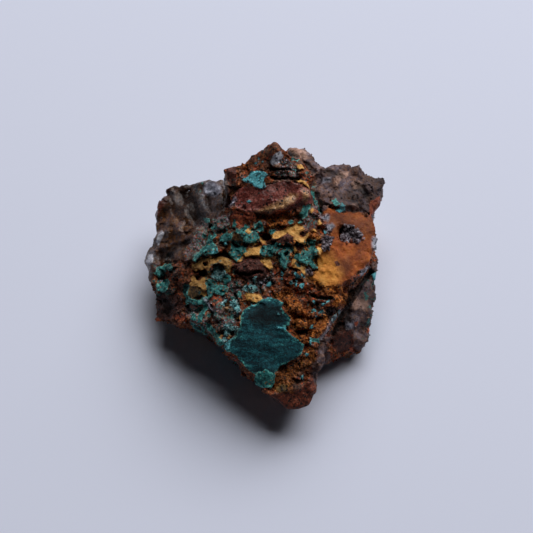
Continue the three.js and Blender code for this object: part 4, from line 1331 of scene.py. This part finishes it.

# Painted shade: places darkened towards a dark colour as shade falls there, in the hollows, the shadow
# patches and the dim places, with the raggedness and softness of their edges in pixels, how dark they
# are and the colour they darken to.
PAINTED_SHADE = (
    ("hollow", 2.0, 1.2, 0.85, 0x100A0A),
    ("shadow", 2.0, 3.0, 0.7, 0x0E0B0C),
    ("dim_shade", 2.0, 4.0, 0.45, 0x0C0808),
)
# The crevices are darkened with painted shade, by how open the stone is above them.
CREVICE_SHADE = 0.55  # how dark the crevices are
OPEN_RANGE = (-0.1, 0.75)  # openness of a dark crevice and of open ground
GRAIN_CONTRAST = 0.6
SPECULAR = 0.3
LEAST_ROUGH = 0.35
ROUGH_RANGE = 0.6  # added by noise
GLOSS = -0.38  # added where the glossy minerals are
PLATE_ROUGH = 0.35  # added on the plate
BUMP_STRENGTH = 0.8
BUMP_HEIGHT = 0.12  # mm
PAPER_COLOUR = 0xDADEF0
PAPER_ROUGH = 0.9


def ore_material():
    """Maroon-brown iron matrix with the minerals laid over it by their fields, and painted shade in its
    crevices and darkened places.
    """
    nodes = Nodes("ore")
    edge = nodes.math("SUBTRACT", nodes.noise(0.5, 1.0, detail=4.0), 0.5)
    coarse = nodes.noise(1.8, 2.0)
    tint = nodes.math("SUBTRACT", nodes.attribute("tint"), 0.5)
    fine = nodes.math("MULTIPLY_ADD", tint, 0.2, nodes.noise(0.5, 3.0, detail=6.0, rough=0.75))
    broad = nodes.noise(2.2, 7.0, detail=4.0, rough=0.55)
    chance, other, third = nodes.cell_values(0.3, 5.0)
    tiny_grey, tiny_rust, tiny_teal = nodes.cell_values(0.19, 15.0)

    def with_fine(noise):
        return nodes.math("MULTIPLY_ADD", fine, 0.4, nodes.math("MULTIPLY", noise, 0.6))

    def grains(colours, source=fine):
        return nodes.ramp(source, *zip(GRAIN_LEVELS, colours))

    def ragged_field(kind, ragged):
        return nodes.math("MULTIPLY_ADD", edge, ragged, nodes.attribute(kind))

    def cover(kind, ragged, soft):
        """1 inside a mineral's patches, 0 outside."""
        return nodes.step(ragged_field(kind, ragged), -soft, soft)

    def rim(kind, ragged, low, high, strength):
        """The strength at the edge of a mineral's patches, falling to 0 from low to high inside."""
        inner = nodes.step(ragged_field(kind, ragged), low, high)
        return nodes.math("SUBTRACT", strength, nodes.math("MULTIPLY", inner, strength))

    def speckle(colour, source, least, fleck):
        """The colour with flecks where the source is above least."""
        return nodes.mix(nodes.step(source, least, least + 0.03), colour, fleck)

    iron = grains((0x28110B, 0x582616, 0x823E20, 0xB06836))
    mauve = grains((0x1E1412, 0x48302C, 0x6C4C46, 0x987E78))
    colour = nodes.mix(nodes.step(coarse, 0.48, 0.62), iron, mauve)
    colour = speckle(colour, chance, 0.86, 0xA03814)
    colour = speckle(colour, other, 0.96, 0x85787C)
    # the plate has dark and light streaks across it
    soft = with_fine(broad)
    sources = dict.fromkeys(SOFT_KINDS, soft)
    sources["plate"] = with_fine(nodes.noise(0.8, 8.0, detail=5.0, rough=0.65, squeeze=(0.25, 1.0, 1.0)))
    layers = {kind: grains(colours, sources.get(kind, fine)) for kind, _, _, colours in LAYERS}
    # the left mass and the humps change from red brown to slate and lilac
    drift = nodes.noise(1.5, 12.0, squeeze=(1.0, 0.5, 0.6))
    slate = grains((0x07070B, 0x13141B, 0x2C303C, 0x98A4BC), soft)
    lilac = grains((0x100C10, 0x2C2328, 0x4C3F49, 0xA096A8), soft)
    varied = nodes.mix(nodes.step(drift, 0.53, 0.62), layers["drape"], slate)
    layers["drape"] = nodes.mix(nodes.step(nodes.noise(1.8, 13.0), 0.5, 0.6), varied, lilac)
    brown = grains((0x160E11, 0x352429, 0x574043, 0x8E7878), soft)
    layers["mauve"] = nodes.mix(nodes.step(nodes.noise(1.4, 14.0), 0.52, 0.64), layers["mauve"], brown)
    # white, rust and teal specks in the lilac rock, and brown ones in the teal
    frosted = speckle(layers["frost"], tiny_grey, 0.92, 0x9C98A6)
    frosted = speckle(frosted, tiny_rust, 0.88, 0x8C401E)
    layers["frost"] = speckle(frosted, tiny_teal, 0.86, 0x3E8A84)
    layers["teal"] = speckle(layers["teal"], tiny_rust, 0.94, 0x8A5A2C)
    # the teal crusts and the plate have bright rims
    light_teal = grains((0x1C4E4E, 0x3C8C88, 0x6CC0B4, 0xA8E4D8))
    layers["teal"] = nodes.mix(rim("teal", 6.0, 0.2, 1.6, 0.8), layers["teal"], light_teal)
    layers["plate"] = nodes.mix(rim("plate", 12.0, 0.0, 2.0, 0.7), layers["plate"], light_teal)
    stain = nodes.step(nodes.noise(0.9, 6.0, detail=4.0), 0.54, 0.6)
    stained = grains((0x122C30, 0x24504E, 0x3A746E, 0x64A496))
    for kind, ragged, softness, _ in LAYERS:
        if kind == "plate":
            colour = nodes.mix(nodes.math("MULTIPLY", stain, cover("stain", 8, 2.0)), colour, stained)
        colour = nodes.mix(cover(kind, ragged, softness), colour, layers[kind])
    # dark flecks and tiny light and dark grains, but not on the softly lit masses
    plain = nodes.math("MAXIMUM", cover("drape", 0, 2.0), cover("mauve", 0, 2.0))
    for kind in ("slab", "ochre", "teal"):
        plain = nodes.math("MAXIMUM", plain, cover(kind, 0, 1.0))
    grained = nodes.math("SUBTRACT", 1.0, plain)
    on_plate = cover("plate", 0, 1.0)
    fleck = nodes.math("MULTIPLY", nodes.step(third, 0.89, 0.92), grained)
    fleck = nodes.math("MULTIPLY", fleck, nodes.math("SUBTRACT", 1.0, on_plate))
    colour = nodes.mix(fleck, colour, 0x1C1210)
    grey = nodes.add("ShaderNodeCombineColor")
    for socket in grey.inputs:
        nodes.join(socket, tiny_grey)
    grain_amount = nodes.math("MULTIPLY", grained, GRAIN_CONTRAST)
    colour = nodes.mix(grain_amount, colour, grey.outputs[0], "OVERLAY")
    # painted shade in the crevices, darker where the stone is less open above them
    shade = nodes.step(nodes.attribute("open"), *OPEN_RANGE)
    crevice_shade = nodes.math("MULTIPLY", nodes.math("SUBTRACT", 1.0, shade), CREVICE_SHADE)
    colour = nodes.mix(crevice_shade, colour, 0x0E0909)
    for kind, ragged, softness, darkness, dark in PAINTED_SHADE:
        colour = nodes.mix(nodes.math("MULTIPLY", cover(kind, ragged, softness), darkness), colour, dark)
    nodes.join(nodes.shader.inputs["Base Color"], colour)
    nodes.shader.inputs["Specular IOR Level"].default_value = SPECULAR

    rough = nodes.math("MULTIPLY_ADD", nodes.noise(0.7, 9.0), ROUGH_RANGE, LEAST_ROUGH)
    glossy = nodes.math("MAXIMUM", cover("drape", 4, 2.0), cover("maroon", 4, 1.0))
    glossy = nodes.math("MAXIMUM", glossy, cover("pale", 3, 1.0))
    rough = nodes.math("MULTIPLY_ADD", glossy, GLOSS, rough)
    rough = nodes.math("MULTIPLY_ADD", on_plate, PLATE_ROUGH, rough)
    nodes.join(nodes.shader.inputs["Roughness"], rough)
    bump = nodes.add("ShaderNodeBump")
    bump.inputs["Strength"].default_value = BUMP_STRENGTH
    bump.inputs["Distance"].default_value = BUMP_HEIGHT * MM
    height = nodes.math("ADD", fine, nodes.math("MULTIPLY", nodes.cell(0.22, 4.0), -0.6))
    nodes.join(bump.inputs["Height"], height)
    nodes.join(nodes.shader.inputs["Normal"], bump.outputs[0])
    return nodes.material


def paper_material():
    """Plain matt paper."""
    nodes = Nodes("paper")
    nodes.shader.inputs["Base Color"].default_value = linear(PAPER_COLOUR)
    nodes.shader.inputs["Roughness"].default_value = PAPER_ROUGH
    return nodes.material


# ---- the dressed stone ----
distances, first, heights = reshaped_grid()
skin, quads = grid_surface(distances, first)
skin, quads = largest_part(skin, quads)
stone = stone_object(heights, skin, quads)
surface = fit_stone(stone, distances, first, heights)
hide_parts("rock")

druse = crystals("druse", surface)
quartz = crystals("quartz", surface)
crumbs = granules(surface, heights)

ore = ore_material()
for piece in (stone, crumbs, druse, quartz):
    piece.data.materials.append(ore)
    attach(piece, "root")

# ---- floor, light, camera ----
FLOOR_HALF = 1.5  # metres, like the other lengths here
WINDOW_AZIMUTH = math.radians(22.4)  # from +Y towards +X
WINDOW_ELEVATION = math.radians(47.0)
WINDOW_DISTANCE = 0.95
WINDOW_SIZE = 0.91
WINDOW_POWER = 12.6
WINDOW_AIM = Vector((0, 0, 0.01))
SKY_COLOUR = (0.8, 0.88, 1.0, 1)
SKY_STRENGTH = 0.015

corners = [(-FLOOR_HALF, -FLOOR_HALF, 0), (FLOOR_HALF, -FLOOR_HALF, 0)]
corners += [(FLOOR_HALF, FLOOR_HALF, 0), (-FLOOR_HALF, FLOOR_HALF, 0)]
floor = new_object("floor", corners, [(0, 1, 2, 3)])
floor.data.materials.append(paper_material())

window_data = bpy.data.lights.new("window", "AREA")
window_data.size = WINDOW_SIZE
window_data.energy = WINDOW_POWER
window = bpy.data.objects.new("window", window_data)
window.location = (
    WINDOW_DISTANCE * math.sin(WINDOW_AZIMUTH) * math.cos(WINDOW_ELEVATION),
    WINDOW_DISTANCE * math.cos(WINDOW_AZIMUTH) * math.cos(WINDOW_ELEVATION),
    WINDOW_DISTANCE * math.sin(WINDOW_ELEVATION),
)
window.rotation_euler = (WINDOW_AIM - window.location).to_track_quat("-Z", "Y").to_euler()
scene = bpy.context.scene
scene.collection.objects.link(window)

world = bpy.data.worlds.new("studio")
world.use_nodes = True
world.node_tree.nodes["Background"].inputs["Color"].default_value = SKY_COLOUR
world.node_tree.nodes["Background"].inputs["Strength"].default_value = SKY_STRENGTH
scene.world = world
scene.view_settings.view_transform = "Standard"

camera_data = bpy.data.cameras.new("camera")
camera_data.sensor_width = SENSOR
camera_data.lens = SENSOR * PIXELS_PER_MM * CAMERA_DISTANCE / FRAME_PIXELS
camera_data.clip_start = CLIP_START
camera = bpy.data.objects.new("camera", camera_data)
camera.location = [float(part) * MM for part in CAMERA_TARGET + CAMERA_DISTANCE * BACK]
camera.rotation_euler = (math.pi / 2 - CAMERA_ELEVATION, 0, 0)
scene.collection.objects.link(camera)
scene.camera = camera
